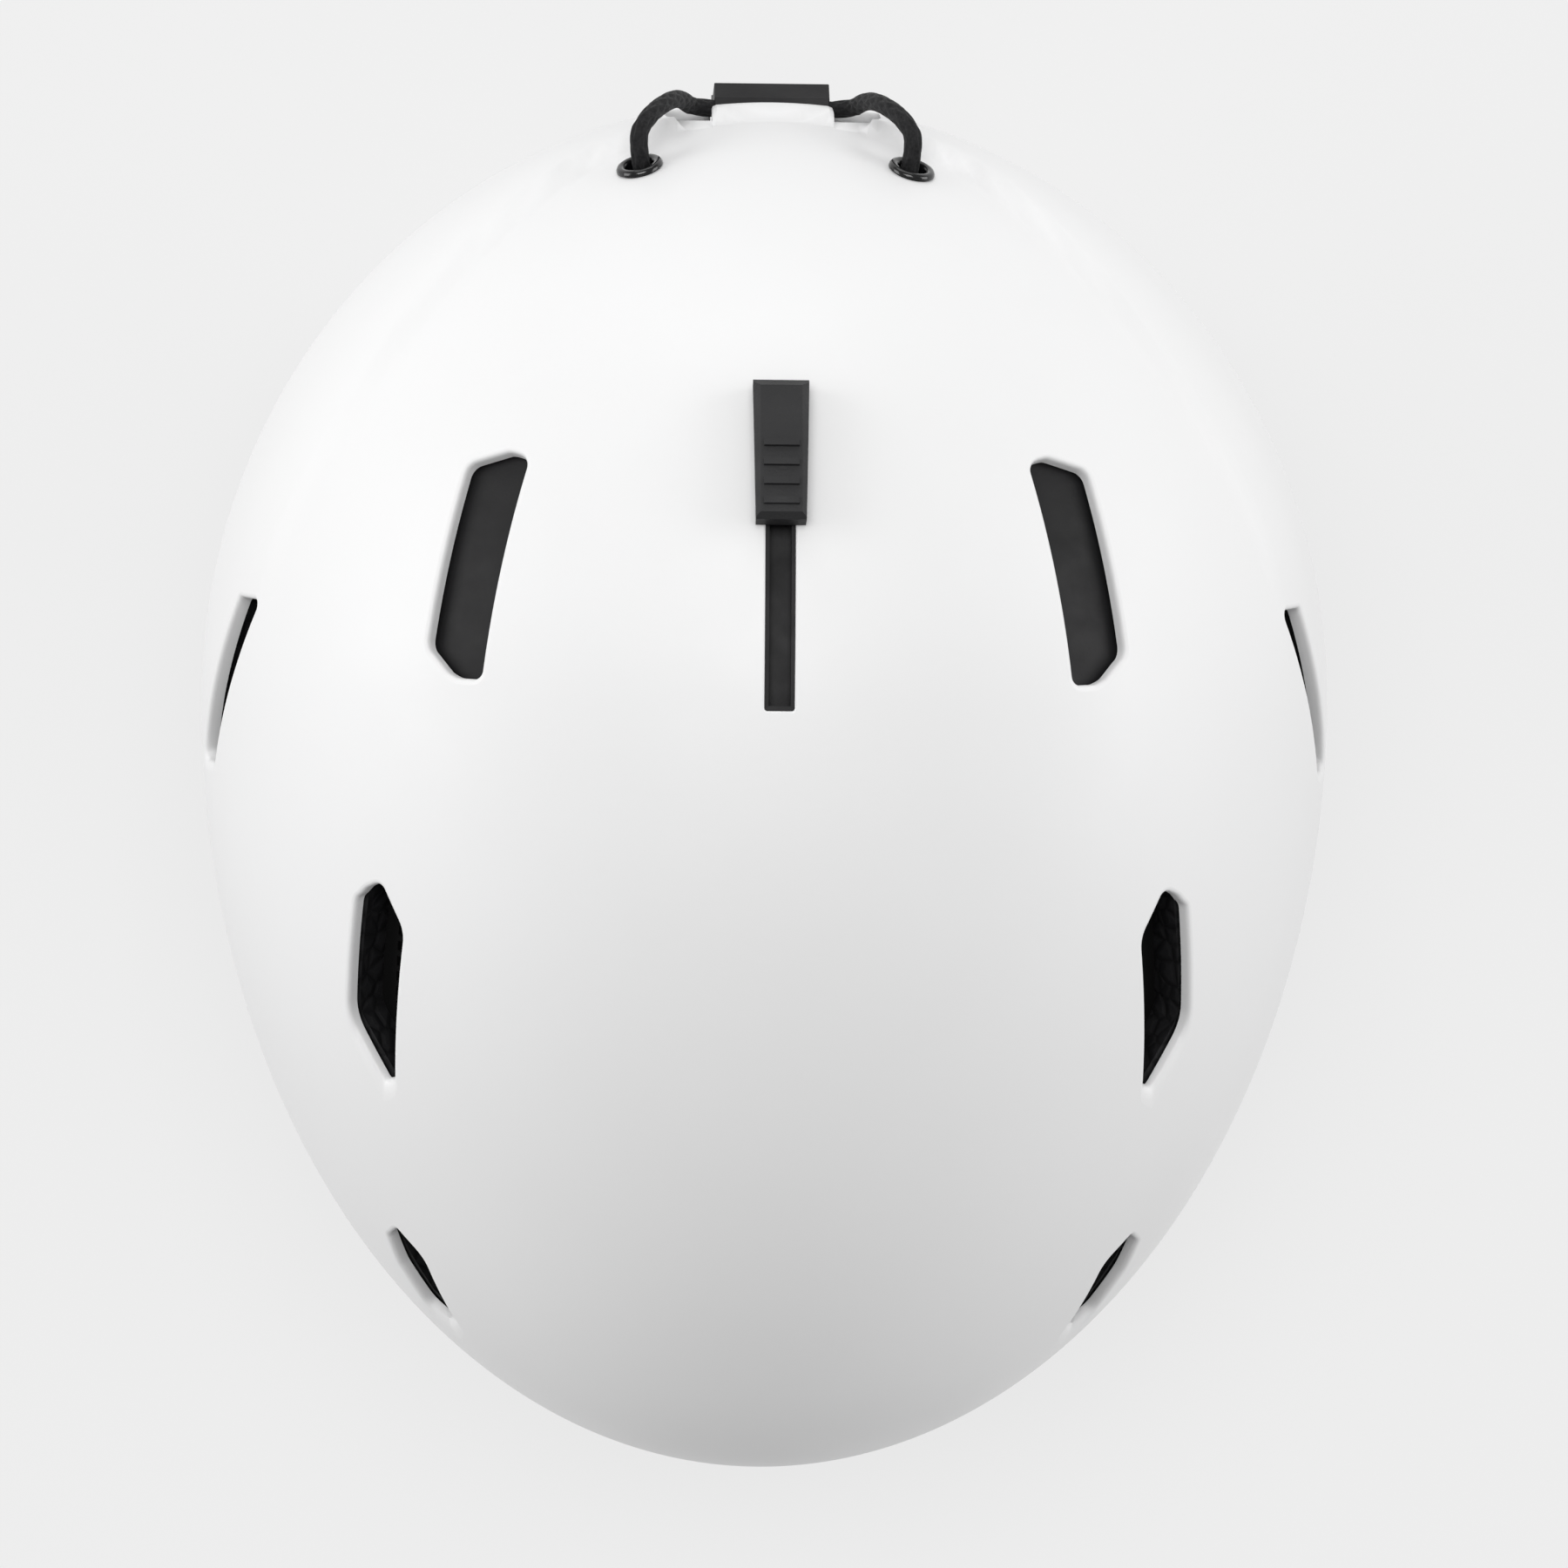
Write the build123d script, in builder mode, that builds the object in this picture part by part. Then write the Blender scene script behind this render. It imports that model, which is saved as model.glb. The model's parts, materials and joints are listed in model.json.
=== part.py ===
from build123d import *
import os
from functools import cache
from math import asin, cos, degrees, pi, radians, sin, sqrt, tan

# Ski helmet, millimetres. +Z up, the front of the helmet faces -Y, +X is the wearer's left.
# The origin is the middle of the footprint, on the surface that the helmet stands on.
# "Inset" is a distance inwards from the crown's outer surface, which is made of four
# quarter ellipsoids about the dome centre.

# Dome
HALF_WIDTH = 112.0
FRONT = 152.5
LIP_REAR = 119.1
CROWN_REAR = 116.1
RISE = 105.0
DROP = 150.0
EQUATOR_Z = 65.0
DOME_Y = 15.05
REACH = 220.0

# Layers, as insets
SHELL = (0.0, 2.4)
EPS = (2.8, 24.0)
PAD = (24.3, 31.0)
TRIM = (0.0, 6.0)
MESH = (9.0, 10.2)
VENT_POCKET = 16.0
EAR_FRAME = (2.6, 3.8)
EAR_PAD = (4.1, 18.0)
STRAP = (18.8, 20.4)
DIVIDER = (18.5, 21.5)
ANCHOR = (17.2, 22.2)
FIT_BAND = (24.8, 26.2)

# Rim, seen from the side: distance behind the dome centre and height
RIM = [(-REACH, 61), (-62, 57), (-50, 45), (46, 45), (72, 0), (REACH, 0)]
RIM_ROUND = 7.0
TRIM_HEIGHT = 3.0
NAPE_HALF_WIDTH = 34.0
NAPE_HEIGHT = 30.0

# Vent slider: it turns about an axis along X, so that the knob follows the crown
AXIS_Z = EQUATOR_Z - 22.2
CROWN_RADIUS = RISE + 22.2
SLIDE_TRAVEL = 13.0
KNOB_FRONT, KNOB_REAR = 14.8, 27.4
KNOB_HALF_WIDTH_FRONT, KNOB_HALF_WIDTH_REAR = 4.65, 5.3
KNOB_BASE, KNOB_TOP = CROWN_RADIUS + 0.4, CROWN_RADIUS + 5.4
RIB_SPACING, RIB_LENGTH, RIB_WIDTH, RIB_HEIGHT, RIB_COUNT = 3.6, 6.6, 1.3, 0.9, 4
FIRST_RIB_Y = 36.4
SLOT_WIDTH, SLOT_FRONT_Y, SLOT_REAR_Y = 5.6, -2.0, 49.0
SHUTTER = (3.2, 4.4)
SHUTTER_HALF_WIDTH = 69.0
STEM_FRONT, STEM_REAR, STEM_HALF_WIDTH = 18.0, 21.5, 1.9
SCREW_RADIUS = 1.0

# Goggle cord and its clip
CORD_RADIUS = 1.8
EYELET = (26.3, 102.8)
EYELET_FLANGE_RADIUS, EYELET_BODY_RADIUS, EYELET_HOLE_RADIUS = 4.6, 3.7, 2.75
CLIP_AXIS_Y, CLIP_AXIS_Z = 116.9, EQUATOR_Z + 9.0
CLIP_OUTER_Y = 122.4
CLIP_HALF_WIDTH, CLIP_THICK, CLIP_DROP = 11.4, 5.2, 32.0
CLIP_BORE_RADIUS = 2.1
RECESS_GAP = 0.5
CATCH_Z, CATCH_RADIUS, CATCH_HEIGHT = 50.0, 2.5, 6.2

# Fit dial at the nape, with a pinion between two racks
DIAL_Z, DIAL_RADIUS = 15.0, 13.0
PITCH_RADIUS, TEETH, ADDENDUM, DEDENDUM, TOOTH_HALF = 5.0, 10, 0.8, 1.15, 0.5
RACK_Y = (78.6, 82.2)
HOUSING_Y = (76.0, 88.0)
PLATE_Y = 78.2
HOUSING_HALF_WIDTH = 22.0
SHAFT_RADIUS = 3.0

# Chin strap
WEB_Z, WEB_THICK, WEB_HALF_WIDTH = 3.2, 1.6, 9.5
BUCKLE_HALF_WIDTH, BUCKLE_BOTTOM, BUCKLE_TOP = 14.0, 0.4, 10.4
BUCKLE_LEFT, BUCKLE_SPLIT, BUCKLE_RIGHT = -26.0, 4.0, 24.0

SIDE = Plane(origin=(0, DOME_Y, 0), x_dir=(0, 1, 0), z_dir=(1, 0, 0))
TOP = Plane(origin=(0, DOME_Y, 0))
BACK = Plane(origin=(0, DOME_Y, 0), x_dir=(1, 0, 0), z_dir=(0, -1, 0))
SLIDER_AXIS = Axis((0, DOME_Y, AXIS_Z), (1, 0, 0))

# Vents of the wearer's left side. Each has its own plane, touching the crown at "at":
# "out" is the surface's normal and "along" is the plane's first direction, to the front.
VENTS = {
    "rear": {
        "at": (55.0, 24.5, 88.7), "out": (0.469, 0.195, 0.861), "along": (0.142, -0.979, 0.144),
        "corners": [(-22.0, -4.6), (20.6, -1.7), (20.8, 3.8), (15.9, 8.8), (-18.4, 6.5)],
        "rounds": [2.5, 1.5, 2.0, 2.5, 2.5],
    },
    "mid": {
        "at": (74.2, -54.0, 69.3), "out": (0.662, -0.260, 0.703), "along": (0.042, -0.923, -0.381),
        "corners": [(-20.0, 2.2), (-11.5, -4.9), (19.8, -4.1), (9.0, 6.1), (-16.5, 5.1)],
        "rounds": [1.5, 3.0, 0.8, 3.0, 1.5],
    },
    "front": {
        "at": (65.5, -113.0, 34.7), "out": (0.670, -0.623, 0.403), "along": (-0.370, -0.751, -0.546),
        "corners": [(-12.3, 3.9), (-5.9, -1.9), (12.5, -0.6), (8.8, 4.9), (-2.0, 6.0)],
        "rounds": [0.8, 2.0, 0.8, 1.5, 2.0],
    },
    "side": {
        "at": (106.0, 3.0, 33.8), "out": (0.940, 0.025, 0.341), "along": (0.225, -0.795, -0.564),
        "corners": [(-21.0, -2.2), (18.5, -2.2), (25.0, 7.3), (-15.5, 5.4)],
        "rounds": [1.5, 2.0, 1.5, 2.0],
    },
}


os.makedirs("parts", exist_ok=True)


def save(piece, name):
    piece.part.label = name
    export_step(piece.part, f"parts/{name}.step")


def quarter(inset, depth, rise, way, up):
    """One quarter of the dome solid, as a stretched sphere cut to its quadrant."""
    with BuildPart(mode=Mode.PRIVATE) as piece:
        Sphere(1)
        scale(by=(HALF_WIDTH - inset, depth - inset, rise - inset))
        with Locations((0, way * REACH / 2, up * REACH / 2)):
            Box(2 * REACH, REACH, REACH, mode=Mode.INTERSECT)
    return piece.part.moved(Location((0, DOME_Y, EQUATOR_Z)))


@cache
def dome(inset, rear=CROWN_REAR):
    """The solid inside the helmet's outer surface moved in by inset, above the floor."""
    with BuildPart(mode=Mode.PRIVATE) as body:
        for depth, way in ((rear, 1), (FRONT, -1)):
            for rise, up in ((RISE, 1), (DROP, -1)):
                add(quarter(inset, depth, rise, way, up))
        Box(2 * REACH, 2 * REACH, REACH, align=(Align.CENTER, Align.CENTER, Align.MAX), mode=Mode.SUBTRACT)
    return body.part


def pocketed_dome(inset, rear, pockets):
    """The dome with pockets in its back wall, cut from each rear quarter before they join."""
    with BuildPart(mode=Mode.PRIVATE) as body:
        for rise, up in ((RISE, 1), (DROP, -1)):
            with BuildPart(mode=Mode.PRIVATE) as rear_quarter:
                add(quarter(inset, rear, rise, 1, up))
                for pocket in pockets:
                    add(pocket, mode=Mode.SUBTRACT)
            add(rear_quarter.part)
            add(quarter(inset, FRONT, rise, -1, up))
        Box(2 * REACH, 2 * REACH, REACH, align=(Align.CENTER, Align.CENTER, Align.MAX), mode=Mode.SUBTRACT)
    return body.part


def below_rim(lift):
    """Everything under the rim line raised by lift."""
    points = [(y, z + lift) for y, z in RIM]
    with BuildPart(mode=Mode.PRIVATE) as body:
        with BuildSketch(SIDE):
            with BuildLine():
                FilletPolyline(*points, radius=RIM_ROUND)
                Polyline(points[-1], (REACH, -REACH), (-REACH, -REACH), points[0])
            make_face()
        extrude(amount=REACH, both=True)
    return body.part


def nape_notch(half_width=NAPE_HALF_WIDTH, height=NAPE_HEIGHT):
    """The opening under the rear rim that the fit dial shows through."""
    with BuildPart(mode=Mode.PRIVATE) as body:
        with BuildSketch(BACK):
            RectangleRounded(2 * half_width, 2 * height, 10)
        extrude(amount=-REACH)
    return body.part


def vent_plane(vent, side):
    (x, y, z), (ox, oy, oz), (ax, ay, az) = vent["at"], vent["out"], vent["along"]
    at = (side * x, y + DOME_Y, z + EQUATOR_Z)
    return Plane(origin=at, x_dir=(side * ax, ay, az), z_dir=(side * ox, oy, oz))


def vent_prism(name, side, grow, outwards, inwards):
    """A vent's outline grown by grow and run through the wall along its normal."""
    vent = VENTS[name]
    corners = [(x, side * y) for x, y in vent["corners"]]
    plane = vent_plane(vent, side)
    with BuildPart(mode=Mode.PRIVATE) as body:
        with BuildSketch(plane.offset(-inwards)) as outline:
            with BuildLine():
                FilletPolyline(*corners, radius=vent["rounds"], close=True)
            make_face()
            if grow:
                offset(amount=grow)
        extrude(amount=outwards + inwards)
    return body.part


def eyelet_point():
    x, y = EYELET
    z = RISE * sqrt(1 - (x / HALF_WIDTH) ** 2 - (y / CROWN_REAR) ** 2)
    return x, y, z


def eyelet_normal():
    x, y, z = eyelet_point()
    return Vector(x / HALF_WIDTH**2, y / CROWN_REAR**2, z / RISE**2).normalized()


def eyelet_plane(side, height=0):
    x, y, z = eyelet_point()
    n = eyelet_normal()
    at = (side * x, y + DOME_Y, z + EQUATOR_Z)
    return Plane(origin=at, z_dir=(side * n.X, n.Y, n.Z)).offset(height)


def crown_section(inset, x):
    """Distance from the slider's axis to the crown surface at that inset, at a given x."""
    round_part = sqrt(1 - (x / (HALF_WIDTH - inset)) ** 2)
    return CROWN_RADIUS - RISE + (RISE - inset) * round_part


def slider_ring(outer, inner, half_width, front, rear):
    """A curved plate between two insets, from one angle behind the top to another."""
    start = Plane(
        origin=(0, DOME_Y, AXIS_Z),
        x_dir=(1, 0, 0),
        z_dir=(0, -cos(radians(rear)), sin(radians(rear))),
    )
    ends = [(inset, crown_section(inset, half_width), crown_section(inset, 0)) for inset in (outer, inner)]
    with BuildPart(mode=Mode.PRIVATE) as body:
        with BuildSketch(start):
            with BuildLine():
                for inset, at_edge, at_middle in ends:
                    ThreePointArc((-half_width, at_edge), (0, at_middle), (half_width, at_edge))
                for way in (-1, 1):
                    Line((way * half_width, ends[0][1]), (way * half_width, ends[1][1]))
            make_face()
        revolve(axis=SLIDER_AXIS, revolution_arc=rear - front)
    return body.part


def sector(inner, outer, front, rear, half_width):
    """A block that follows the crown: a ring sector about the slider's axis."""
    centre = (0, AXIS_Z)
    with BuildPart(mode=Mode.PRIVATE) as body:
        with BuildSketch(SIDE):
            with BuildLine():
                low = CenterArc(centre, inner, 90 - rear, rear - front)
                high = CenterArc(centre, outer, 90 - rear, rear - front)
                Line(low @ 0, high @ 0)
                Line(low @ 1, high @ 1)
            make_face()
        extrude(amount=half_width, both=True)
    return body.part


def layer_piece(layer, outline, sides=(1, -1), rounding=3.0):
    """A piece of one layer, cut to an outline seen from the side."""
    with BuildPart(mode=Mode.PRIVATE) as body:
        for side in sides:
            with BuildSketch(SIDE):
                with BuildLine():
                    FilletPolyline(*outline, radius=rounding, close=True)
                make_face()
            extrude(amount=side * REACH)
        add(dome(layer[0]), mode=Mode.INTERSECT)
        add(dome(layer[1]), mode=Mode.SUBTRACT)
    return body.part


def top_prism(points, rounding, low, high):
    """An outline seen from above, from one height to another."""
    with BuildPart(mode=Mode.PRIVATE) as body:
        with BuildSketch(TOP.offset(low)):
            with BuildLine():
                FilletPolyline(*points, radius=rounding, close=True)
            make_face()
        extrude(amount=high - low)
    return body.part


# ---------------------------------------------------------------- outer shell

CREASE_START = 12.0
CREASE = [(112, 109), (92, 116.5), (77, 119.0), (56, 111.5), (31.6, 96.3), (0, 83.5)]


def above_crease():
    """Everything above the crease that rings the rear crown, from just behind the top."""
    right = [(-x, z) for x, z in reversed(CREASE[:-1])]
    with BuildPart(mode=Mode.PRIVATE) as body:
        with BuildSketch(BACK.offset(-CREASE_START)):
            with BuildLine():
                Spline(*CREASE, *right)
                Polyline(CREASE[0], (REACH, CREASE[0][1]), (REACH, REACH), (-REACH, REACH),
                         (-REACH, CREASE[0][1]), right[-1])
            make_face()
        extrude(amount=-REACH)
    return body.part


RECESS_FLOOR_Y = CLIP_AXIS_Y - CLIP_THICK / 2 - RECESS_GAP
RECESS_TOP, RECESS_BOTTOM = CLIP_AXIS_Z + CLIP_THICK / 2 + 1.5, CLIP_AXIS_Z - CLIP_DROP - 4
CORD_POCKET_HALF_WIDTH, CORD_POCKET_TOP, CORD_POCKET_BOTTOM = 21.0, CLIP_AXIS_Z + 15, CLIP_AXIS_Z - 6
PAN_WALL = 2.2


def back_block(half_width, bottom, top, floor_y, depth=20, rounding=3):
    """A block behind the rear wall with rounded corners, as seen from behind."""
    plane = Plane(origin=(0, DOME_Y + floor_y, 0), x_dir=(1, 0, 0), z_dir=(0, 1, 0))
    with BuildPart(mode=Mode.PRIVATE) as body:
        with BuildSketch(plane):
            with Locations((0, -(top + bottom) / 2)):
                RectangleRounded(2 * half_width, top - bottom, rounding)
        extrude(amount=depth)
    return body.part


def clip_recess():
    """The pocket under the rear lip for the goggle clip."""
    return back_block(CLIP_HALF_WIDTH + 0.6, RECESS_BOTTOM, RECESS_TOP, RECESS_FLOOR_Y)


def cord_pockets():
    """A dip on each side of the lip, where the cord turns in to the clip."""
    with BuildPart(mode=Mode.PRIVATE) as body:
        add(back_block(CORD_POCKET_HALF_WIDTH, CORD_POCKET_BOTTOM, CORD_POCKET_TOP, RECESS_FLOOR_Y, rounding=5))
        add(back_block(CLIP_HALF_WIDTH + 0.6, RECESS_TOP, CORD_POCKET_TOP + 9, RECESS_FLOOR_Y - 1),
            mode=Mode.SUBTRACT)
    return body.part


def recess_pan(grow=0):
    """The shell's thicker wall behind the recess and the cord pockets."""
    half_width, floor_y = CORD_POCKET_HALF_WIDTH + PAN_WALL, RECESS_FLOOR_Y - PAN_WALL
    bottom, top = RECESS_BOTTOM - PAN_WALL, CORD_POCKET_TOP + PAN_WALL
    return back_block(half_width + grow, bottom - grow, top + grow, floor_y - grow)


def crown_cap():
    """The crown above the crease, which is nearer to the centre than the lip below it."""
    with BuildPart(mode=Mode.PRIVATE) as body:
        add(above_crease())
        add(dome(0), mode=Mode.INTERSECT)
    return body.part


with BuildPart() as outer_shell:
    add(pocketed_dome(0, LIP_REAR, [clip_recess(), cord_pockets()]))
    add(above_crease(), mode=Mode.SUBTRACT)
    add(crown_cap())
    add(pocketed_dome(SHELL[1], CROWN_REAR, [recess_pan()]), mode=Mode.SUBTRACT)
    add(below_rim(TRIM_HEIGHT), mode=Mode.SUBTRACT)
    add(nape_notch(), mode=Mode.SUBTRACT)
    for side in (1, -1):
        for name in VENTS:
            add(vent_prism(name, side, 0, 15, 12), mode=Mode.SUBTRACT)
        with BuildSketch(eyelet_plane(side, -8)):
            Circle(EYELET_BODY_RADIUS + 0.05)
        extrude(amount=16, mode=Mode.SUBTRACT)
    with BuildSketch(TOP.offset(EQUATOR_Z + 60)):
        with Locations((0, (SLOT_FRONT_Y + SLOT_REAR_Y) / 2)):
            SlotOverall(SLOT_REAR_Y - SLOT_FRONT_Y, SLOT_WIDTH, rotation=90)
    extrude(amount=REACH, mode=Mode.SUBTRACT)
save(outer_shell, "outer_shell")

with BuildPart() as rim_trim:
    add(below_rim(TRIM_HEIGHT - 0.05))
    add(dome(TRIM[0]), mode=Mode.INTERSECT)
    add(dome(TRIM[1]), mode=Mode.SUBTRACT)
    add(below_rim(0), mode=Mode.SUBTRACT)
    add(nape_notch(), mode=Mode.SUBTRACT)
save(rim_trim, "rim_trim")

# ---------------------------------------------------------------- vent mesh inserts

for vent_name in ("front", "mid", "side"):
    with BuildPart() as mesh:
        for side in (1, -1):
            add(vent_prism(vent_name, side, 1.9, 5, 20))
        add(dome(MESH[0]), mode=Mode.INTERSECT)
        add(dome(MESH[1]), mode=Mode.SUBTRACT)
        for side in (1, -1):
            with BuildSketch(vent_plane(VENTS[vent_name], side).offset(-20)):
                with GridLocations(3.2, 3.2, 11, 3):
                    Rectangle(2.0, 2.0)
            extrude(amount=25, mode=Mode.SUBTRACT)
    save(mesh, f"{vent_name}_vent_mesh")

# ---------------------------------------------------------------- goggle cord

def cord_route():
    """The cord's points: from inside the right eyelet, through the clip, to the left one."""
    x, y, z = eyelet_point()
    n = eyelet_normal()
    eyelet = Vector(x, y, z)
    half = [
        tuple(eyelet - n * 12),
        tuple(eyelet + n * 5.5),
        (24.8, 113.2, 40.5),
        (20.6, 117.0, 31.0),
        (18.0, 118.2, 20.0),
        (15.6, CLIP_AXIS_Y, CLIP_AXIS_Z - EQUATOR_Z),
    ]
    left = [(x, y + DOME_Y, z + EQUATOR_Z) for x, y, z in half]
    right = [(-x, y, z) for x, y, z in left]
    return right + left[::-1]


def bend_radii(route):
    """For each corner, the radius that takes 0.45 of its shorter run."""
    points = [Vector(*p) for p in route]
    radii = []
    for before, here, after in zip(points, points[1:], points[2:]):
        run = min((here - before).length, (after - here).length)
        turn = radians((here - before).get_angle(after - here))
        radii.append(round(0.45 * run / tan(turn / 2), 2))
    return radii


route = cord_route()
radii = bend_radii(route)
with BuildPart() as goggle_cord:
    with BuildLine() as cord_line:
        FilletPolyline(*route, radius=radii)
    start_direction = Vector(*route[1]) - Vector(*route[0])
    with BuildSketch(Plane(origin=route[0], z_dir=start_direction)):
        Circle(CORD_RADIUS)
    sweep(path=cord_line.wires()[0])
save(goggle_cord, "goggle_cord")
cord_length = cord_line.wires()[0].length
cord_volume = cord_length * pi * CORD_RADIUS**2
print("cord bend radii", radii, "length", round(cord_length, 1))
print("cord volume", round(goggle_cord.part.volume, 1), "from its length", round(cord_volume, 1))

for side, hand in ((1, "left"), (-1, "right")):
    with BuildPart() as eyelet:
        with BuildSketch(eyelet_plane(side, 0.25)):
            Circle(EYELET_FLANGE_RADIUS)
        extrude(amount=1.0)
        with BuildSketch(eyelet_plane(side, -4.5)):
            Circle(EYELET_BODY_RADIUS)
        extrude(amount=5)
        with BuildSketch(eyelet_plane(side, -5)):
            Circle(EYELET_HOLE_RADIUS)
        extrude(amount=8, mode=Mode.SUBTRACT)
    save(eyelet, f"eyelet_{hand}")

    with BuildPart() as cord_stop:
        with BuildSketch(eyelet_plane(side, -13.5)):
            Circle(4.0)
        extrude(amount=7)
        with BuildSketch(eyelet_plane(side, -12)):
            Circle(CORD_RADIUS + 0.05)
        extrude(amount=10, mode=Mode.SUBTRACT)
    save(cord_stop, f"cord_stop_{hand}")

# ---------------------------------------------------------------- goggle clip and its catch

with BuildPart() as goggle_clip:
    with BuildSketch(SIDE):
        with Locations((CLIP_AXIS_Y, CLIP_AXIS_Z)):
            Circle(CLIP_THICK / 2)
        with BuildLine():
            inner_y, outer_y = CLIP_AXIS_Y - CLIP_THICK / 2, CLIP_OUTER_Y
            low = CLIP_AXIS_Z - CLIP_DROP
            Polyline(
                (inner_y, CLIP_AXIS_Z), (CLIP_AXIS_Y, CLIP_AXIS_Z + CLIP_THICK / 2),
                (CLIP_AXIS_Y + 2.2, CLIP_AXIS_Z + CLIP_THICK / 2), (outer_y, CLIP_AXIS_Z - 2),
                (outer_y - 1.6, low + 12), (outer_y, low), (outer_y - 2.2, low),
                (outer_y - 4.2, low + 8), (inner_y, CLIP_AXIS_Z - 12), close=True,
            )
        make_face()
    extrude(amount=CLIP_HALF_WIDTH, both=True)
    with BuildSketch(SIDE):
        with Locations((CLIP_AXIS_Y, CLIP_AXIS_Z)):
            Circle(CLIP_BORE_RADIUS)
    extrude(amount=CLIP_HALF_WIDTH + 1, both=True, mode=Mode.SUBTRACT)
    with BuildSketch(BACK):
        with Locations((0, CATCH_Z)):
            Circle(CATCH_RADIUS + 0.8)
    extrude(amount=-REACH, mode=Mode.SUBTRACT)
save(goggle_clip, "goggle_clip")

with BuildPart() as clip_catch:
    catch_plane = Plane(
        origin=(0, DOME_Y + RECESS_FLOOR_Y, CATCH_Z),
        x_dir=(1, 0, 0), z_dir=(0, 1, 0),
    )
    with BuildSketch(catch_plane):
        Circle(CATCH_RADIUS)
    extrude(amount=CATCH_HEIGHT)
    with BuildSketch(catch_plane.offset(CATCH_HEIGHT)):
        Circle(CATCH_RADIUS + 0.35)
    extrude(amount=-0.8)
save(clip_catch, "clip_catch")

# ---------------------------------------------------------------- vent slider

def knob_section():
    """The knob's bevelled cross-section, swept along the crown."""
    half, bevel = KNOB_HALF_WIDTH_REAR, 1.4
    start = Plane(
        origin=(0, DOME_Y, AXIS_Z), x_dir=(1, 0, 0),
        z_dir=(0, -cos(radians(KNOB_REAR + 1)), sin(radians(KNOB_REAR + 1))),
    )
    with BuildPart(mode=Mode.PRIVATE) as body:
        with BuildSketch(start):
            with BuildLine():
                Polyline(
                    (-half, KNOB_BASE - 1), (half, KNOB_BASE - 1), (half, KNOB_TOP - bevel),
                    (half - bevel, KNOB_TOP), (bevel - half, KNOB_TOP), (-half, KNOB_TOP - bevel), close=True,
                )
            make_face()
        revolve(axis=SLIDER_AXIS, revolution_arc=KNOB_REAR - KNOB_FRONT + 2)
    return body.part


with BuildPart() as slider_knob:
    with BuildSketch(SIDE):
        with BuildLine():
            low_arc = CenterArc((0, AXIS_Z), KNOB_BASE, 90 - KNOB_REAR, KNOB_REAR - KNOB_FRONT)
            high_arc = CenterArc((0, AXIS_Z), KNOB_TOP, 90 - KNOB_REAR, KNOB_REAR - KNOB_FRONT)
            Line(low_arc @ 0, high_arc @ 0)
            Line(low_arc @ 1, high_arc @ 1)
        knob_face = make_face()
        chamfer(knob_face.vertices().sort_by(Axis.X)[-1], 2.4)
        chamfer(knob_face.vertices().sort_by(Axis.X)[1], 1.2)
    extrude(amount=KNOB_HALF_WIDTH_REAR, both=True)
    add(knob_section(), mode=Mode.INTERSECT)
    taper = [(-KNOB_HALF_WIDTH_FRONT, 31), (KNOB_HALF_WIDTH_FRONT, 31),
             (KNOB_HALF_WIDTH_REAR, 62), (-KNOB_HALF_WIDTH_REAR, 62)]
    add(top_prism(taper, 0.5, EQUATOR_Z, REACH), mode=Mode.INTERSECT)
    for rib in range(RIB_COUNT):
        angle = degrees(asin((FIRST_RIB_Y + rib * RIB_SPACING) / KNOB_TOP))
        width = degrees(RIB_WIDTH / KNOB_TOP)
        add(sector(KNOB_TOP - 0.3, KNOB_TOP + RIB_HEIGHT, angle, angle + width, RIB_LENGTH / 2))
    stem_angle = radians((STEM_FRONT + STEM_REAR) / 2)
    screw_plane = Plane(
        origin=(0, DOME_Y, AXIS_Z), x_dir=(1, 0, 0), z_dir=(0, sin(stem_angle), cos(stem_angle)),
    )
    with BuildSketch(screw_plane.offset(KNOB_BASE - 1)):
        Circle(SCREW_RADIUS + 0.02)
    extrude(amount=4.5, mode=Mode.SUBTRACT)
save(slider_knob, "slider_knob")

SHUTTER_PAD = [(44.5, 49.0), (52.0, 0.5), (65.0, 0.5), (67.8, 9.0), (59.5, 49.0)]
with BuildPart() as vent_shutter:
    add(top_prism([(-5.5, -6), (5.5, -6), (5.5, 75), (-5.5, 75)], 2, EQUATOR_Z, REACH))
    add(top_prism([(-54, 18), (54, 18), (52, 33), (-52, 33)], 2, EQUATOR_Z, REACH))
    for side in (1, -1):
        pad = [(side * x, y) for x, y in SHUTTER_PAD]
        add(top_prism(pad, 2, EQUATOR_Z, REACH))
    add(slider_ring(*SHUTTER, SHUTTER_HALF_WIDTH, -6, 37), mode=Mode.INTERSECT)
    stem_bottom = CROWN_RADIUS - SHUTTER[0] - 0.2
    add(sector(stem_bottom, KNOB_BASE, STEM_FRONT, STEM_REAR, STEM_HALF_WIDTH))
    with BuildSketch(screw_plane.offset(CROWN_RADIUS - 8)):
        Circle(SCREW_RADIUS + 0.1)
    extrude(amount=12, mode=Mode.SUBTRACT)
    with BuildSketch(screw_plane.offset(CROWN_RADIUS - 8)):
        Circle(2.3)
    extrude(amount=8 - SHUTTER[1] + 0.15, mode=Mode.SUBTRACT)
save(vent_shutter, "vent_shutter")

with BuildPart() as slider_screw:
    head_top = CROWN_RADIUS - SHUTTER[1]
    with BuildSketch(screw_plane.offset(head_top)):
        Circle(2.0)
    extrude(amount=-0.8)
    with BuildSketch(screw_plane.offset(head_top - 0.2)):
        Circle(SCREW_RADIUS)
    extrude(amount=KNOB_BASE + 3 - head_top)
save(slider_screw, "slider_screw")

# ---------------------------------------------------------------- comfort pads

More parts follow.
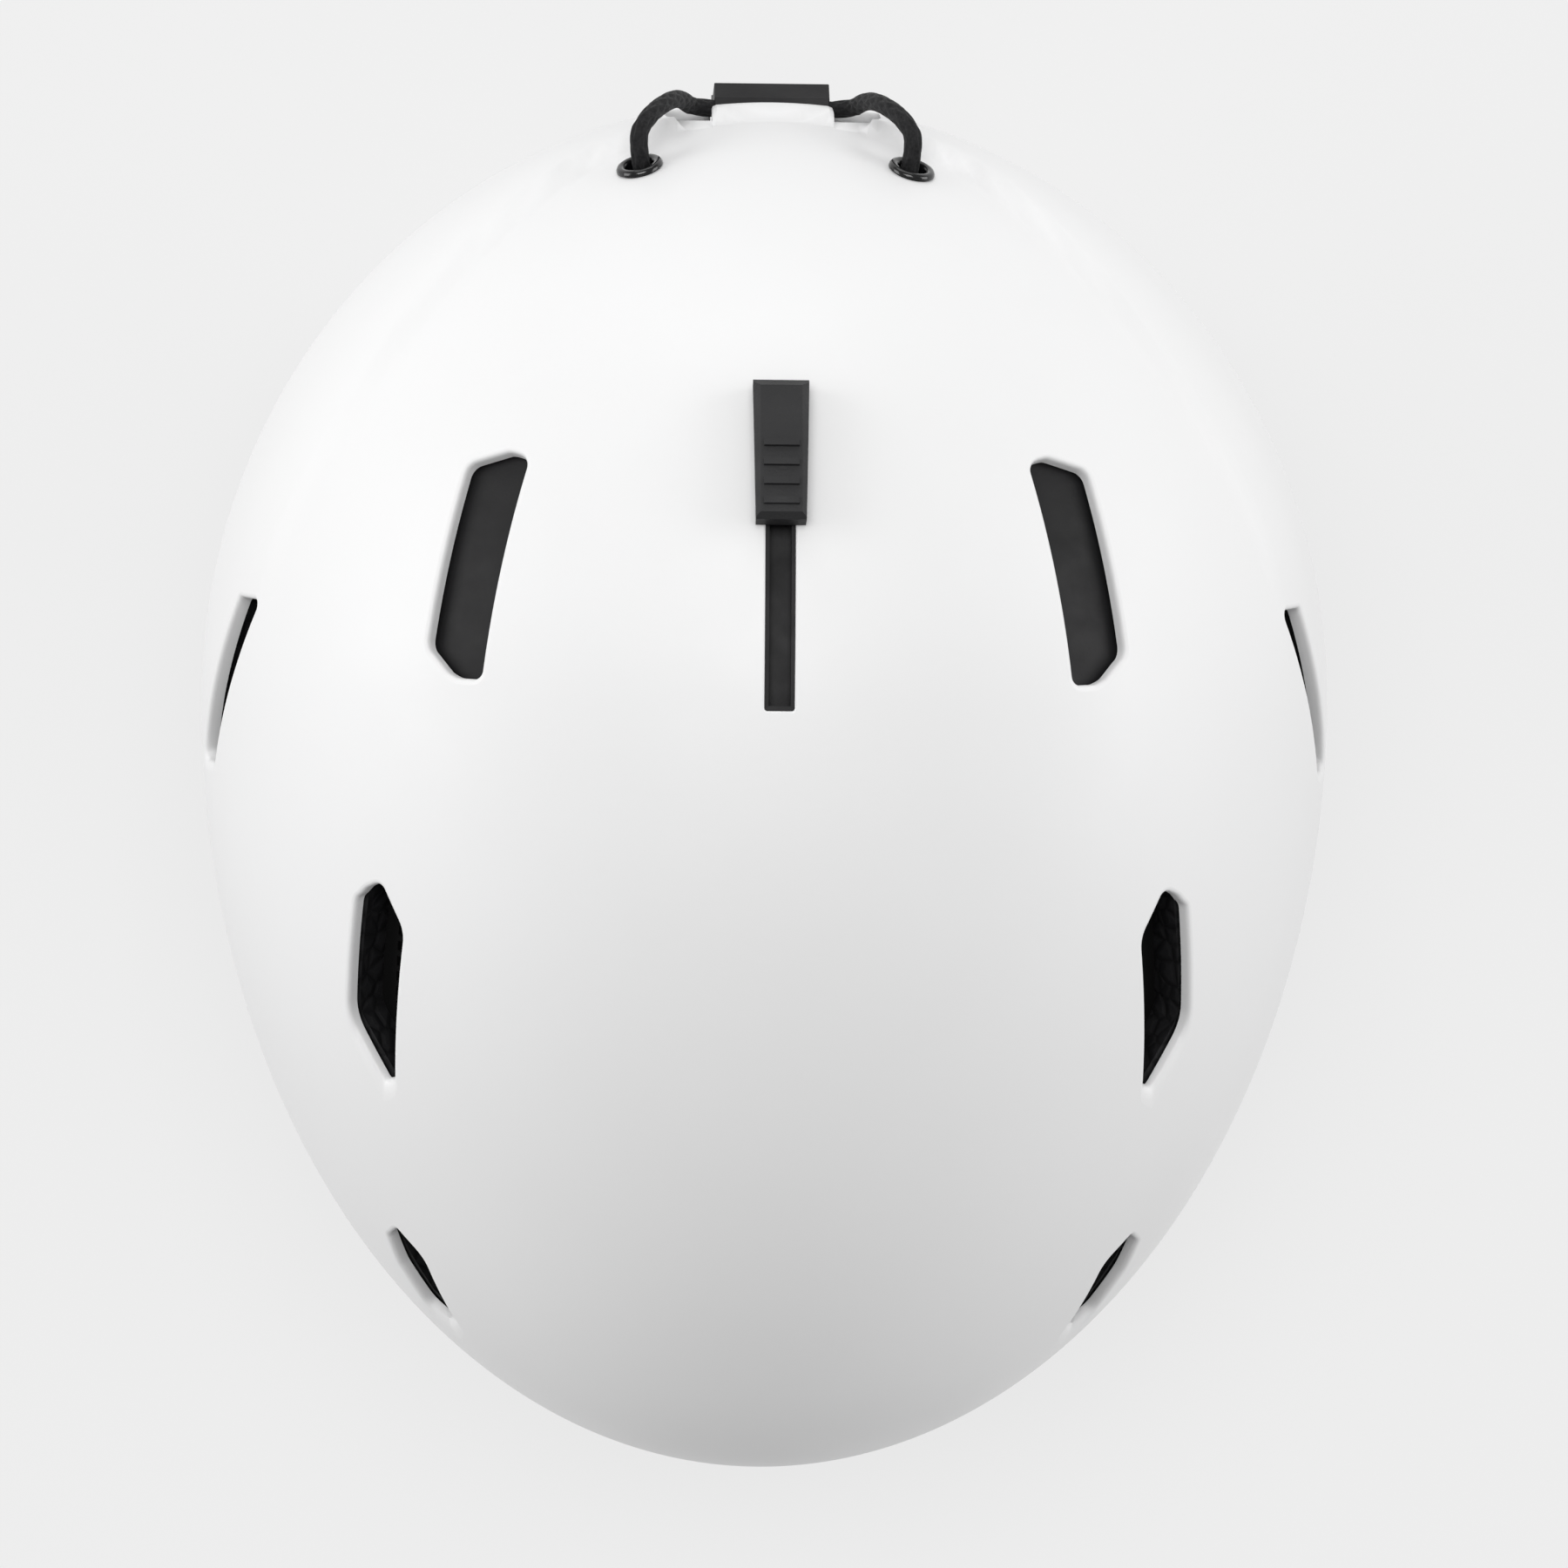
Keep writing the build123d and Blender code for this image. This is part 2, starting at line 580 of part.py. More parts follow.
PAD_OUTLINES = {
    "brow_pad": [(-REACH, 66), (-66, 66), (-72, 96), (-REACH, 92)],
    "side_pads": [(-52, 66), (30, 66), (30, 112), (-52, 112)],
    "rear_pads": [(40, 66), (REACH, 66), (REACH, 104), (40, 118)],
}
for pad_name, outline in PAD_OUTLINES.items():
    with BuildPart() as pad:
        add(layer_piece(PAD, outline, rounding=4))
        if pad_name == "rear_pads":
            middle = [(-14, 0), (14, 0), (14, REACH), (-14, REACH)]
            add(top_prism(middle, 2, 0, REACH), mode=Mode.SUBTRACT)
    save(pad, pad_name)

with BuildPart() as crown_pads:
    for side in (1, -1):
        strip = [(side * 6, -52), (side * 30, -52), (side * 30, 30), (side * 6, 30)]
        add(top_prism(strip, 5, 126, REACH))
    add(dome(PAD[0]), mode=Mode.INTERSECT)
    add(dome(PAD[1]), mode=Mode.SUBTRACT)
save(crown_pads, "crown_pads")

# ---------------------------------------------------------------- straps

FRONT_STRAP = [(-38, 61), (-24, 61), (6, 21.5), (-4, 21.5)]
REAR_STRAP = [(38, 61), (52, 61), (18, 21.5), (8, 21.5)]
STRAP_SLOTS = [
    [(-39.5, 62), (-22.5, 62), (1, 30), (-13, 30)],
    [(36.5, 62), (53.5, 62), (27.5, 30), (12.5, 30)],
]
ANCHOR_SPOTS = [(-31, 64.5), (45, 64.5)]


def outline_box(centre, width, height):
    y, z = centre
    w, h = width / 2, height / 2
    return [(y - w, z - h), (y + w, z - h), (y + w, z + h), (y - w, z + h)]


with BuildPart() as strap_anchors:
    for spot in ANCHOR_SPOTS:
        add(layer_piece(ANCHOR, outline_box(spot, 17, 6), rounding=1.5))
save(strap_anchors, "strap_anchors")

for side, hand in ((1, "left"), (-1, "right")):
    with BuildPart() as side_strap:
        for outline in (FRONT_STRAP, REAR_STRAP):
            add(layer_piece(STRAP, outline, sides=(side,), rounding=1))
    save(side_strap, f"side_strap_{hand}")

    with BuildPart() as divider:
        add(layer_piece(DIVIDER, [(-8, 7), (22, 7), (22, 21.2), (-8, 21.2)], sides=(side,), rounding=4))
    save(divider, f"strap_divider_{hand}")

WEB_PLANE = Plane(origin=(0, DOME_Y + 7, 0), x_dir=(1, 0, 0), z_dir=(0, -1, 0))


def web(start_x, side):
    """Flat webbing from the buckle out along the floor and up to the divider."""
    half = WEB_THICK / 2
    outline = [
        (side * start_x, WEB_Z - half), (side * 74, WEB_Z - half), (side * 80.6, 6.4),
        (side * 79.2, 7.2 - 0.3), (side * 73.2, WEB_Z + half), (side * start_x, WEB_Z + half),
    ]
    with BuildPart(mode=Mode.PRIVATE) as body:
        with BuildSketch(WEB_PLANE):
            with BuildLine():
                Polyline(*outline, close=True)
            make_face()
        extrude(amount=WEB_HALF_WIDTH, both=True)
    return body.part


for side, hand, start_x in ((1, "left", BUCKLE_RIGHT + 0.1), (-1, "right", -BUCKLE_LEFT + 0.1)):
    with BuildPart() as chin_web:
        add(web(start_x, side))
    save(chin_web, f"chin_web_{hand}")


def floor_box(x_low, x_high, half_width, z_low, z_high):
    """A block on the chin strap's line."""
    with BuildPart(mode=Mode.PRIVATE) as body:
        with Locations(((x_low + x_high) / 2, DOME_Y + 7, (z_low + z_high) / 2)):
            Box(x_high - x_low, 2 * half_width, z_high - z_low)
    return body.part


with BuildPart() as chin_pad:
    add(floor_box(-64, -34, 14, 0.4, 9))
    fillet(chin_pad.edges().filter_by(Axis.Z), 4)
    add(floor_box(-66, -32, WEB_HALF_WIDTH + 0.6, WEB_Z - 1.3, WEB_Z + 1.3), mode=Mode.SUBTRACT)
save(chin_pad, "chin_pad")

with BuildPart() as strap_keeper:
    add(floor_box(56, 63, 12, 0.6, 6.2))
    add(floor_box(55, 64, WEB_HALF_WIDTH + 0.6, WEB_Z - 1.2, WEB_Z + 1.2), mode=Mode.SUBTRACT)
save(strap_keeper, "strap_keeper")

with BuildPart() as buckle_socket:
    add(floor_box(BUCKLE_LEFT, BUCKLE_SPLIT, BUCKLE_HALF_WIDTH, BUCKLE_BOTTOM, BUCKLE_TOP))
    fillet(buckle_socket.edges().filter_by(Axis.Z), 3)
    add(floor_box(BUCKLE_LEFT + 7, BUCKLE_SPLIT + 1, 11, 2.2, 8.6), mode=Mode.SUBTRACT)
    for way in (-1, 1):
        with Locations((-8, DOME_Y + 7 + way * 12.5, 5.4)):
            Box(9, 4, 7, mode=Mode.SUBTRACT)
save(buckle_socket, "buckle_socket")

with BuildPart() as buckle_plug:
    add(floor_box(BUCKLE_SPLIT + 0.2, BUCKLE_RIGHT, BUCKLE_HALF_WIDTH, BUCKLE_BOTTOM, BUCKLE_TOP))
    fillet(buckle_plug.edges().filter_by(Axis.Z), 3)
    for way in (-1, 0, 1):
        length = 17 if way else 12
        with Locations((BUCKLE_SPLIT + 2 - length / 2, DOME_Y + 7 + way * 8.2, 5.4)):
            Box(length + 4, 3.6, 5.6)
save(buckle_plug, "buckle_plug")

# ---------------------------------------------------------------- ear pads

EAR_OUTLINE = [(-46, -20), (38, -20), (52, 30), (45, 44.5), (-48, 44.5), (-52, 30)]
FRAME_OUTLINE = [(-40, 5), (32, 5), (45, 32), (42, 43), (-46, 43), (-49, 34)]
for side, hand in ((1, "left"), (-1, "right")):
    with BuildPart() as ear_pad:
        add(layer_piece(EAR_PAD, EAR_OUTLINE, sides=(side,), rounding=6))
    save(ear_pad, f"ear_pad_{hand}")
    with BuildPart() as ear_frame:
        add(layer_piece(EAR_FRAME, FRAME_OUTLINE, sides=(side,), rounding=6))
    save(ear_frame, f"ear_frame_{hand}")

# ---------------------------------------------------------------- fit dial, racks and bands

def tooth_points(root, tip, slope=0.36):
    """Half-widths of a tooth: wider at the root, narrower at the tip."""
    return TOOTH_HALF + slope * root, TOOTH_HALF - slope * tip


def rack(side):
    """A toothed bar that runs beyond the pinion towards its own side."""
    up = 1 if side < 0 else -1
    low_half, high_half = tooth_points(DEDENDUM, ADDENDUM)
    pitch = pi
    with BuildPart(mode=Mode.PRIVATE) as body:
        with BuildSketch(BACK.offset(-RACK_Y[0])):
            with Locations((side * 12, DIAL_Z + up * (PITCH_RADIUS + DEDENDUM + 1.4))):
                Rectangle(40, 2.8)
            for tooth in range(-2, 5):
                x = side * (tooth + 0.5) * pitch
                if -8 < side * x < 14:
                    with BuildLine():
                        root_z = DIAL_Z + up * (PITCH_RADIUS + DEDENDUM + 0.1)
                        tip_z = DIAL_Z + up * (PITCH_RADIUS - ADDENDUM)
                        Polyline(
                            (x - low_half, root_z), (x + low_half, root_z),
                            (x + high_half, tip_z), (x - high_half, tip_z), close=True,
                        )
                    make_face()
        extrude(amount=-(RACK_Y[1] - RACK_Y[0]))
        with Locations((side * 35, DOME_Y + (RACK_Y[0] + RACK_Y[1]) / 2 - 1, DIAL_Z)):
            Box(6, RACK_Y[1] - RACK_Y[0] + 2, 22)
    return body.part


for side, hand in ((1, "left"), (-1, "right")):
    with BuildPart() as rack_bar:
        add(rack(side))
    save(rack_bar, f"fit_rack_{hand}")

    with BuildPart() as fit_band:
        outline = [(-14, 50), (-8, 62), (4, 60), (45, 27), (75, 26), (75, 6), (45, 10), (20, 22)]
        add(layer_piece(FIT_BAND, outline, sides=(side,), rounding=2))
    save(fit_band, f"fit_band_{hand}")

with BuildPart() as temple_pins:
    for side in (1, -1):
        with BuildSketch(Plane(origin=(side * 82, DOME_Y - 4, 56), z_dir=(side, 0, 0))):
            Circle(2.5)
        extrude(amount=10)
    add(dome(FIT_BAND[0] - 0.05), mode=Mode.SUBTRACT)
save(temple_pins, "temple_pins")

with BuildPart() as dial_pinion:
    low_half, high_half = tooth_points(DEDENDUM, ADDENDUM)
    with BuildSketch(BACK.offset(-RACK_Y[0] - 0.1)):
        with Locations((0, DIAL_Z)):
            Circle(PITCH_RADIUS - DEDENDUM + 0.05)
            with PolarLocations(0, TEETH, start_angle=90):
                with Locations((PITCH_RADIUS + (ADDENDUM - DEDENDUM) / 2, 0)):
                    Trapezoid(2 * low_half, ADDENDUM + DEDENDUM, 70, rotation=-90)
    extrude(amount=-(RACK_Y[1] - RACK_Y[0] - 0.2))
    with BuildSketch(BACK.offset(-RACK_Y[1] + 0.5)):
        with Locations((0, DIAL_Z)):
            Circle(SHAFT_RADIUS)
    extrude(amount=-(HOUSING_Y[1] + 1 - RACK_Y[1] + 0.5))
save(dial_pinion, "dial_pinion")

with BuildPart() as dial_housing:
    with BuildSketch(BACK.offset(-PLATE_Y)):
        with Locations((0, DIAL_Z)):
            RectangleRounded(2 * HOUSING_HALF_WIDTH, 24, 5)
    extrude(amount=-(HOUSING_Y[1] - PLATE_Y))
    with Locations((0, DOME_Y + (PLATE_Y + RACK_Y[1] + 0.3) / 2, DIAL_Z)):
        Box(2 * HOUSING_HALF_WIDTH + 2, RACK_Y[1] + 0.3 - PLATE_Y, 18.8, mode=Mode.SUBTRACT)
    with BuildSketch(BACK):
        with Locations((0, DIAL_Z)):
            Circle(SHAFT_RADIUS + 0.06)
    extrude(amount=-REACH, mode=Mode.SUBTRACT)
save(dial_housing, "dial_housing")

with BuildPart() as dial_backplate:
    with BuildSketch(BACK.offset(-HOUSING_Y[0])):
        with Locations((0, DIAL_Z)):
            RectangleRounded(2 * HOUSING_HALF_WIDTH, 24, 5)
    extrude(amount=-(PLATE_Y - 0.05 - HOUSING_Y[0]))
save(dial_backplate, "dial_backplate")

with BuildPart() as nape_pad:
    with BuildSketch(BACK.offset(-HOUSING_Y[0] + 0.05)):
        with Locations((0, DIAL_Z)):
            RectangleRounded(2 * HOUSING_HALF_WIDTH - 8, 20, 6)
    extrude(amount=6)
save(nape_pad, "nape_pad")

with BuildPart() as fit_dial:
    with BuildSketch(BACK.offset(-HOUSING_Y[1] - 0.4)):
        with Locations((0, DIAL_Z)):
            Circle(DIAL_RADIUS)
            with PolarLocations(DIAL_RADIUS + 0.6, 18):
                Circle(1.4, mode=Mode.SUBTRACT)
    extrude(amount=-7)
    with BuildSketch(BACK):
        with Locations((0, DIAL_Z)):
            Circle(SHAFT_RADIUS)
    extrude(amount=-(HOUSING_Y[1] + 1.02), mode=Mode.SUBTRACT)
save(fit_dial, "fit_dial")

with BuildPart() as fit_stem:
    with BuildSketch(BACK.offset(-83.4)):
        with Locations((0, 44)):
            RectangleRounded(15, 33.6, 4)
    extrude(amount=-1.8)
    with BuildSketch(BACK.offset(-85)):
        with Locations((0, 56)):
            Circle(2.5)
    extrude(amount=-11)
save(fit_stem, "fit_stem")

# ---------------------------------------------------------------- EPS liner

with BuildPart() as eps_liner:
    add(pocketed_dome(EPS[0], CROWN_REAR, [recess_pan(0.3)]))
    add(below_rim(TRIM_HEIGHT), mode=Mode.SUBTRACT)
    add(nape_notch(NAPE_HALF_WIDTH + 12, NAPE_HEIGHT + 1), mode=Mode.SUBTRACT)
    for name in VENTS:
        for side in (1, -1):
            add(vent_prism(name, side, 2.0, 5, VENT_POCKET), mode=Mode.SUBTRACT)
    for side in (1, -1):
        with BuildSketch(eyelet_plane(side, -15)):
            Circle(5.5)
        extrude(amount=20, mode=Mode.SUBTRACT)
    add(slider_ring(-1.0, 5.4, SHUTTER_HALF_WIDTH + 2, -20, 39), mode=Mode.SUBTRACT)
    with BuildSketch(screw_plane.offset(CROWN_RADIUS - 9)):
        Circle(3)
    extrude(amount=6, mode=Mode.SUBTRACT)
    add(dome(EPS[1]), mode=Mode.SUBTRACT)
    for side in (1, -1):
        with BuildSketch(Plane(origin=(side * 75, DOME_Y - 4, 56), z_dir=(side, 0, 0))):
            Circle(2.6)
        extrude(amount=20, mode=Mode.SUBTRACT)
    for outline in STRAP_SLOTS:
        add(layer_piece((STRAP[0] - 0.2, STRAP[1] + 0.2), outline, rounding=0.8), mode=Mode.SUBTRACT)
    for spot in ANCHOR_SPOTS:
        add(layer_piece((ANCHOR[0] - 0.1, ANCHOR[1] + 0.1), outline_box(spot, 17.2, 6.2), rounding=1.5),
            mode=Mode.SUBTRACT)
    with BuildSketch(BACK.offset(-80)):
        with Locations((0, 56)):
            Circle(2.6)
    extrude(amount=-20, mode=Mode.SUBTRACT)
save(eps_liner, "eps_liner")
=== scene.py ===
import json
from math import acos, atan2, cos, pi, radians, sin, sqrt

import bmesh
import bpy
import numpy as np
from mathutils import Matrix, Vector, kdtree
from mathutils.geometry import delaunay_2d_cdt


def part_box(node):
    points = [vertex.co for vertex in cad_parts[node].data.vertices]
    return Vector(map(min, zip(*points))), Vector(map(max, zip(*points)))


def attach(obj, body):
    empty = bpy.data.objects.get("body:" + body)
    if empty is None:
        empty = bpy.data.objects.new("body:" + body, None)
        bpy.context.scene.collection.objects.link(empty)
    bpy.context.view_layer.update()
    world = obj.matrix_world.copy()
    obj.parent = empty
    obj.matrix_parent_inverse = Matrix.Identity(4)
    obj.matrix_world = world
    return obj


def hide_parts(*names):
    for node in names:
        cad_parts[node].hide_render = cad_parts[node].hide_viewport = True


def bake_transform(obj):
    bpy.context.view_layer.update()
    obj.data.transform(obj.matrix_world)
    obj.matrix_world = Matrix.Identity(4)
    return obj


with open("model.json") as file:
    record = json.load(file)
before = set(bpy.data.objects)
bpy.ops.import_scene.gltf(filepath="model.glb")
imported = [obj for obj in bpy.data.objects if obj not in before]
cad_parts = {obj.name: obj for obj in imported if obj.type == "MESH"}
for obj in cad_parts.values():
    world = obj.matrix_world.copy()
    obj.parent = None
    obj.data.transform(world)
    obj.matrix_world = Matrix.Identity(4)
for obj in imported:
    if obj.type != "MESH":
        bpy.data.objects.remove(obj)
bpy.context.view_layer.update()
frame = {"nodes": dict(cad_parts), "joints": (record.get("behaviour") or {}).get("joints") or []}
NODES = frame["nodes"]
AXLE = {joint["name"]: joint for joint in frame["joints"]}["vent_slide"]["pos_m"]

# The dome is four quarters of ellipsoids that meet at its equator. Its half sizes are in metres.
MM = 0.001
EQ = 0.065
CENTRE = Vector((0, AXLE[1], EQ))
HALF, FRONT, REAR, LIP, RISE, DROP = 0.112, 0.1525, 0.1161, 0.1191, 0.105, 0.150
SHELL_THICK = 0.0024
MAP_SCALE = 0.11

# ---- camera

TILT_Y, TILT_Z = radians(1.545), radians(-0.583)
DISTANCE = 1.5
LENS, SHIFT_X, SHIFT_Y = 172.7, 0.0125, -0.0535


def add_object(name, data):
    """A new object in the scene."""
    obj = bpy.data.objects.new(name, data)
    bpy.context.scene.collection.objects.link(obj)
    return obj


turn = (Matrix.Rotation(TILT_Z, 3, "Z") @ Matrix.Rotation(TILT_Y, 3, "Y")).transposed()
camera_data = bpy.data.cameras.new("camera")
camera_data.sensor_width = 36
camera_data.lens = LENS
camera_data.shift_x = SHIFT_X
camera_data.shift_y = SHIFT_Y
camera_data.clip_start = 0.05
camera = add_object("camera", camera_data)
camera.matrix_world = Matrix.Translation(CENTRE + turn @ Vector((0, 0, DISTANCE))) @ turn.to_4x4()
bpy.context.scene.camera = camera


# ---- materials

class Nodes:
    """Short calls for building one material."""

    def __init__(self, name):
        self.material = bpy.data.materials.new(name)
        self.material.use_nodes = True
        self.tree = self.material.node_tree
        self.shader = self.tree.nodes["Principled BSDF"]
        self.place = self.new("ShaderNodeTexCoord").outputs["Object"]

    def new(self, kind, inputs=None, **values):
        node = self.tree.nodes.new(kind)
        for key, value in values.items():
            setattr(node, key, value)
        for key, value in (inputs or {}).items():
            node.inputs[key].default_value = value
        return node

    def link(self, source, socket):
        self.tree.links.new(source, socket)

    def noise(self, scale, detail=3.0, rough=0.5, stretch=None):
        node = self.new("ShaderNodeTexNoise", {"Scale": scale, "Detail": detail, "Roughness": rough})
        source = self.stretch(self.place, stretch) if stretch else self.place
        self.link(source, node.inputs["Vector"])
        return node.outputs["Fac"]

    def stretch(self, source, scale, rotation=(0, 0, 0)):
        node = self.new("ShaderNodeMapping", {"Scale": scale, "Rotation": rotation})
        self.link(source, node.inputs["Vector"])
        return node.outputs["Vector"]

    def cell_edges(self, scale):
        node = self.new("ShaderNodeTexVoronoi", {"Scale": scale}, feature="DISTANCE_TO_EDGE")
        self.link(self.place, node.inputs["Vector"])
        return node.outputs["Distance"]

    def wave(self, scale, direction, place=None, distortion=0.0):
        node = self.new("ShaderNodeTexWave", {"Scale": scale, "Distortion": distortion},
                        wave_type="BANDS", bands_direction=direction)
        self.link(place or self.place, node.inputs["Vector"])
        return node.outputs["Fac"]

    def math(self, operation, a, b):
        node = self.new("ShaderNodeMath", operation=operation)
        for socket, value in zip(node.inputs, (a, b)):
            if isinstance(value, float):
                socket.default_value = value
            else:
                self.link(value, socket)
        return node.outputs[0]

    def ramp(self, value, low, high, start=0.3, end=0.7):
        limits = {"From Min": start, "From Max": end, "To Min": low, "To Max": high}
        node = self.new("ShaderNodeMapRange", limits)
        self.link(value, node.inputs["Value"])
        return node.outputs["Result"]

    def colours(self, value, first, second, start=0.3, end=0.7):
        node = self.new("ShaderNodeValToRGB")
        node.color_ramp.elements[0].color = (*first, 1)
        node.color_ramp.elements[1].color = (*second, 1)
        node.color_ramp.elements[0].position = start
        node.color_ramp.elements[1].position = end
        self.link(value, node.inputs["Fac"])
        self.link(node.outputs["Color"], self.shader.inputs["Base Color"])

    def rough(self, value, low, high):
        self.link(self.ramp(value, low, high), self.shader.inputs["Roughness"])

    def bump(self, height, distance, strength=1.0):
        node = self.new("ShaderNodeBump", {"Distance": distance, "Strength": strength})
        self.link(height, node.inputs["Height"])
        self.link(node.outputs["Normal"], self.shader.inputs["Normal"])

    def set(self, **values):
        for key, value in values.items():
            self.shader.inputs[key.replace("_", " ")].default_value = value


# A wave texture's bands are 1 / (scale * WAVE_SPAN) metres apart.
WAVE_SPAN = 3.1831


def plastic(name, dark, light, low, high, grain=2200.0, depth=0.00004, coat=0.0, specular=0.5):
    """Moulded plastic or rubber: soft colour variation, uneven roughness and a fine grain."""
    m = Nodes(name)
    m.colours(m.noise(35, 4), dark, light)
    m.rough(m.noise(160, 3), low, high)
    fine = m.noise(grain, 2, 0.6)
    broad = m.noise(90, 2)
    m.bump(m.math("ADD", fine, m.math("MULTIPLY", broad, 1.5)), depth)
    m.set(Coat_Weight=coat, Specular_IOR_Level=specular)
    if coat:
        m.set(Coat_Roughness=0.12)
    return m.material


def shell_paint():
    m = Nodes("shell_white")
    m.colours(m.noise(9, 3), (0.80, 0.80, 0.80), (0.825, 0.825, 0.828))
    m.rough(m.noise(50, 3), 0.42, 0.52)
    orange = m.noise(420, 2, 0.5)
    fine = m.noise(3500, 1, 0.5)
    m.bump(m.math("ADD", orange, m.math("MULTIPLY", fine, 0.35)), 0.00003, 0.6)
    m.set(Specular_IOR_Level=0.45)
    return m.material


def knit(name, dark, light, pitch, directions, depth=0.00025):
    """Knitted or brushed fabric whose loops follow two object directions."""
    m = Nodes(name)
    scale = 1.0 / (pitch * WAVE_SPAN)
    first = m.wave(scale, directions[0], distortion=1.2)
    second = m.wave(scale * 1.25, directions[1], distortion=1.2)
    loops = m.math("MULTIPLY", first, second)
    fibre = m.noise(2600, 4, 0.7)
    # The colour is partly painted shade: darker in the gaps between the raised loops and lighter on them,
    # plus random tone.
    m.colours(m.math("ADD", m.math("MULTIPLY", loops, 0.6), m.math("MULTIPLY", m.noise(60, 4), 0.5)),
              dark, light, 0.1, 0.9)
    m.rough(m.noise(120, 2), 0.82, 0.95)
    m.bump(m.math("ADD", loops, m.math("MULTIPLY", fibre, 0.5)), depth)
    m.set(Sheen_Weight=0.35, Sheen_Roughness=0.5)
    return m.material


def woven(name, dark, light, pitch=0.0011):
    """Flat woven webbing with herringbone ribs; its UV map is in metres along and across."""
    m = Nodes(name)
    uv = m.new("ShaderNodeTexCoord").outputs["UV"]
    left = m.stretch(uv, (1, 1, 1), (0, 0, radians(55)))
    right = m.stretch(uv, (1, 1, 1), (0, 0, radians(-55)))
    scale = 1.0 / (pitch * WAVE_SPAN)
    ribs = m.math("MAXIMUM", m.wave(scale, "X", left), m.wave(scale, "X", right))
    rows = m.wave(scale * 0.8, "Y", uv)
    height = m.math("MULTIPLY", ribs, m.ramp(rows, 0.55, 1.0, 0.0, 0.6))
    # The colour is partly painted shade: lighter on the raised ribs and darker between them, plus random
    # tone.
    m.colours(m.math("ADD", m.math("MULTIPLY", height, 0.6), m.math("MULTIPLY", m.noise(300, 3), 0.4)),
              dark, light, 0.15, 0.85)
    m.rough(m.noise(90, 2), 0.6, 0.8)
    m.bump(height, 0.0003)
    m.set(Sheen_Weight=0.2, Sheen_Roughness=0.4)
    return m.material


def bead_foam():
    m = Nodes("bead_foam")
    bead_relief_and_seam_shade = m.cell_edges(260)
    # Painted shade: the colour darkens towards the seams between the beads, where the bump sinks them, with a
    # little random tone on top.
    m.colours(m.math("ADD", m.math("MULTIPLY", bead_relief_and_seam_shade, 2.0), m.math("MULTIPLY", m.noise(500, 2), 0.2)),
              (0.003, 0.003, 0.0035), (0.011, 0.011, 0.012), 0.05, 0.6)
    m.rough(m.noise(200, 2), 0.6, 0.8)
    m.bump(m.ramp(bead_relief_and_seam_shade, 0.0, 1.0, 0.0, 0.25), 0.0003)
    m.set(Specular_IOR_Level=0.25)
    return m.material


def braid():
    m = Nodes("cord_braid")
    m.colours(m.noise(1800, 3), (0.004, 0.004, 0.0045), (0.016, 0.016, 0.017))
    m.rough(m.noise(400, 2), 0.7, 0.85)
    m.bump(m.noise(6000, 3, 0.7), 0.00006)
    m.set(Sheen_Weight=0.06, Sheen_Roughness=0.4, Specular_IOR_Level=0.25)
    return m.material


def metal(name):
    m = Nodes(name)
    m.colours(m.noise(200, 3), (0.32, 0.32, 0.33), (0.5, 0.5, 0.51))
    m.rough(m.noise(900, 2, stretch=(1, 1, 8)), 0.24, 0.38)
    m.bump(m.noise(2500, 2, stretch=(1, 1, 10)), 0.00002)
    m.set(Metallic=1.0)
    return m.material


BLACK, SOOT, COAL = (0.004,) * 3, (0.009, 0.009, 0.010), (0.018, 0.018, 0.019)
WHITE_SHELL = shell_paint()
SATIN_BLACK = plastic("satin_black", (0.005, 0.005, 0.0055), (0.009, 0.0085, 0.0095), 0.48, 0.6,
                      1500.0, 0.00002, specular=0.28)
MATTE_BLACK = plastic("matte_black", (0.002,) * 3, BLACK, 0.75, 0.85, specular=0.2)
KNOB_GREY = plastic("knob_grey", COAL, (0.026, 0.026, 0.027), 0.55, 0.68, 1900.0, 0.00009,
                    specular=0.3)
GLOSS_BLACK = plastic("gloss_black", BLACK, (0.006, 0.006, 0.007), 0.16, 0.26, 900.0, 0.00001, 0.5, 0.35)
FIT_PLASTIC = plastic("fit_plastic", COAL, (0.028, 0.028, 0.03), 0.45, 0.6, 1400.0, 0.00004)
BUCKLE_PLASTIC = plastic("buckle_plastic", SOOT, COAL, 0.3, 0.42, 1300.0, 0.00003)
SOFT_RUBBER = plastic("soft_rubber", (0.012,) * 3, (0.02,) * 3, 0.7, 0.85, 1200.0, 0.00006)
TRIM_RUBBER = plastic("trim_rubber", SOOT, COAL, 0.55, 0.7, 1100.0, 0.00005)
STEEL = metal("steel")
FOAM = bead_foam()
CORD_BRAID = braid()
LINING = knit("brushed_lining", (0.012,) * 3, (0.04, 0.04, 0.043), 0.0016, "XZ")
EAR_KNIT = knit("ear_knit", (0.014,) * 3, (0.05, 0.05, 0.054), 0.0013, "YZ", 0.0003)
CHIN_FLEECE = knit("chin_fleece", (0.012,) * 3, (0.045, 0.045, 0.048), 0.0015, "XY", 0.0003)
WEBBING = woven("strap_webbing", (0.008,) * 3, (0.035, 0.035, 0.037))


# ---- mesh helpers

def make_object(name, points, faces, material, sharp=40.0, uv=None):
    mesh = bpy.data.meshes.new(name)
    mesh.from_pydata([tuple(p) for p in points], [], faces)
    mesh.update()
    mesh.shade_smooth()
    mesh.set_sharp_from_angle(angle=radians(sharp))
    if uv:
        layer = mesh.uv_layers.new(name="weave")
        for loop in mesh.loops:
            layer.data[loop.index].uv = uv[loop.vertex_index]
    mesh.materials.append(material)
    return add_object(name, mesh)


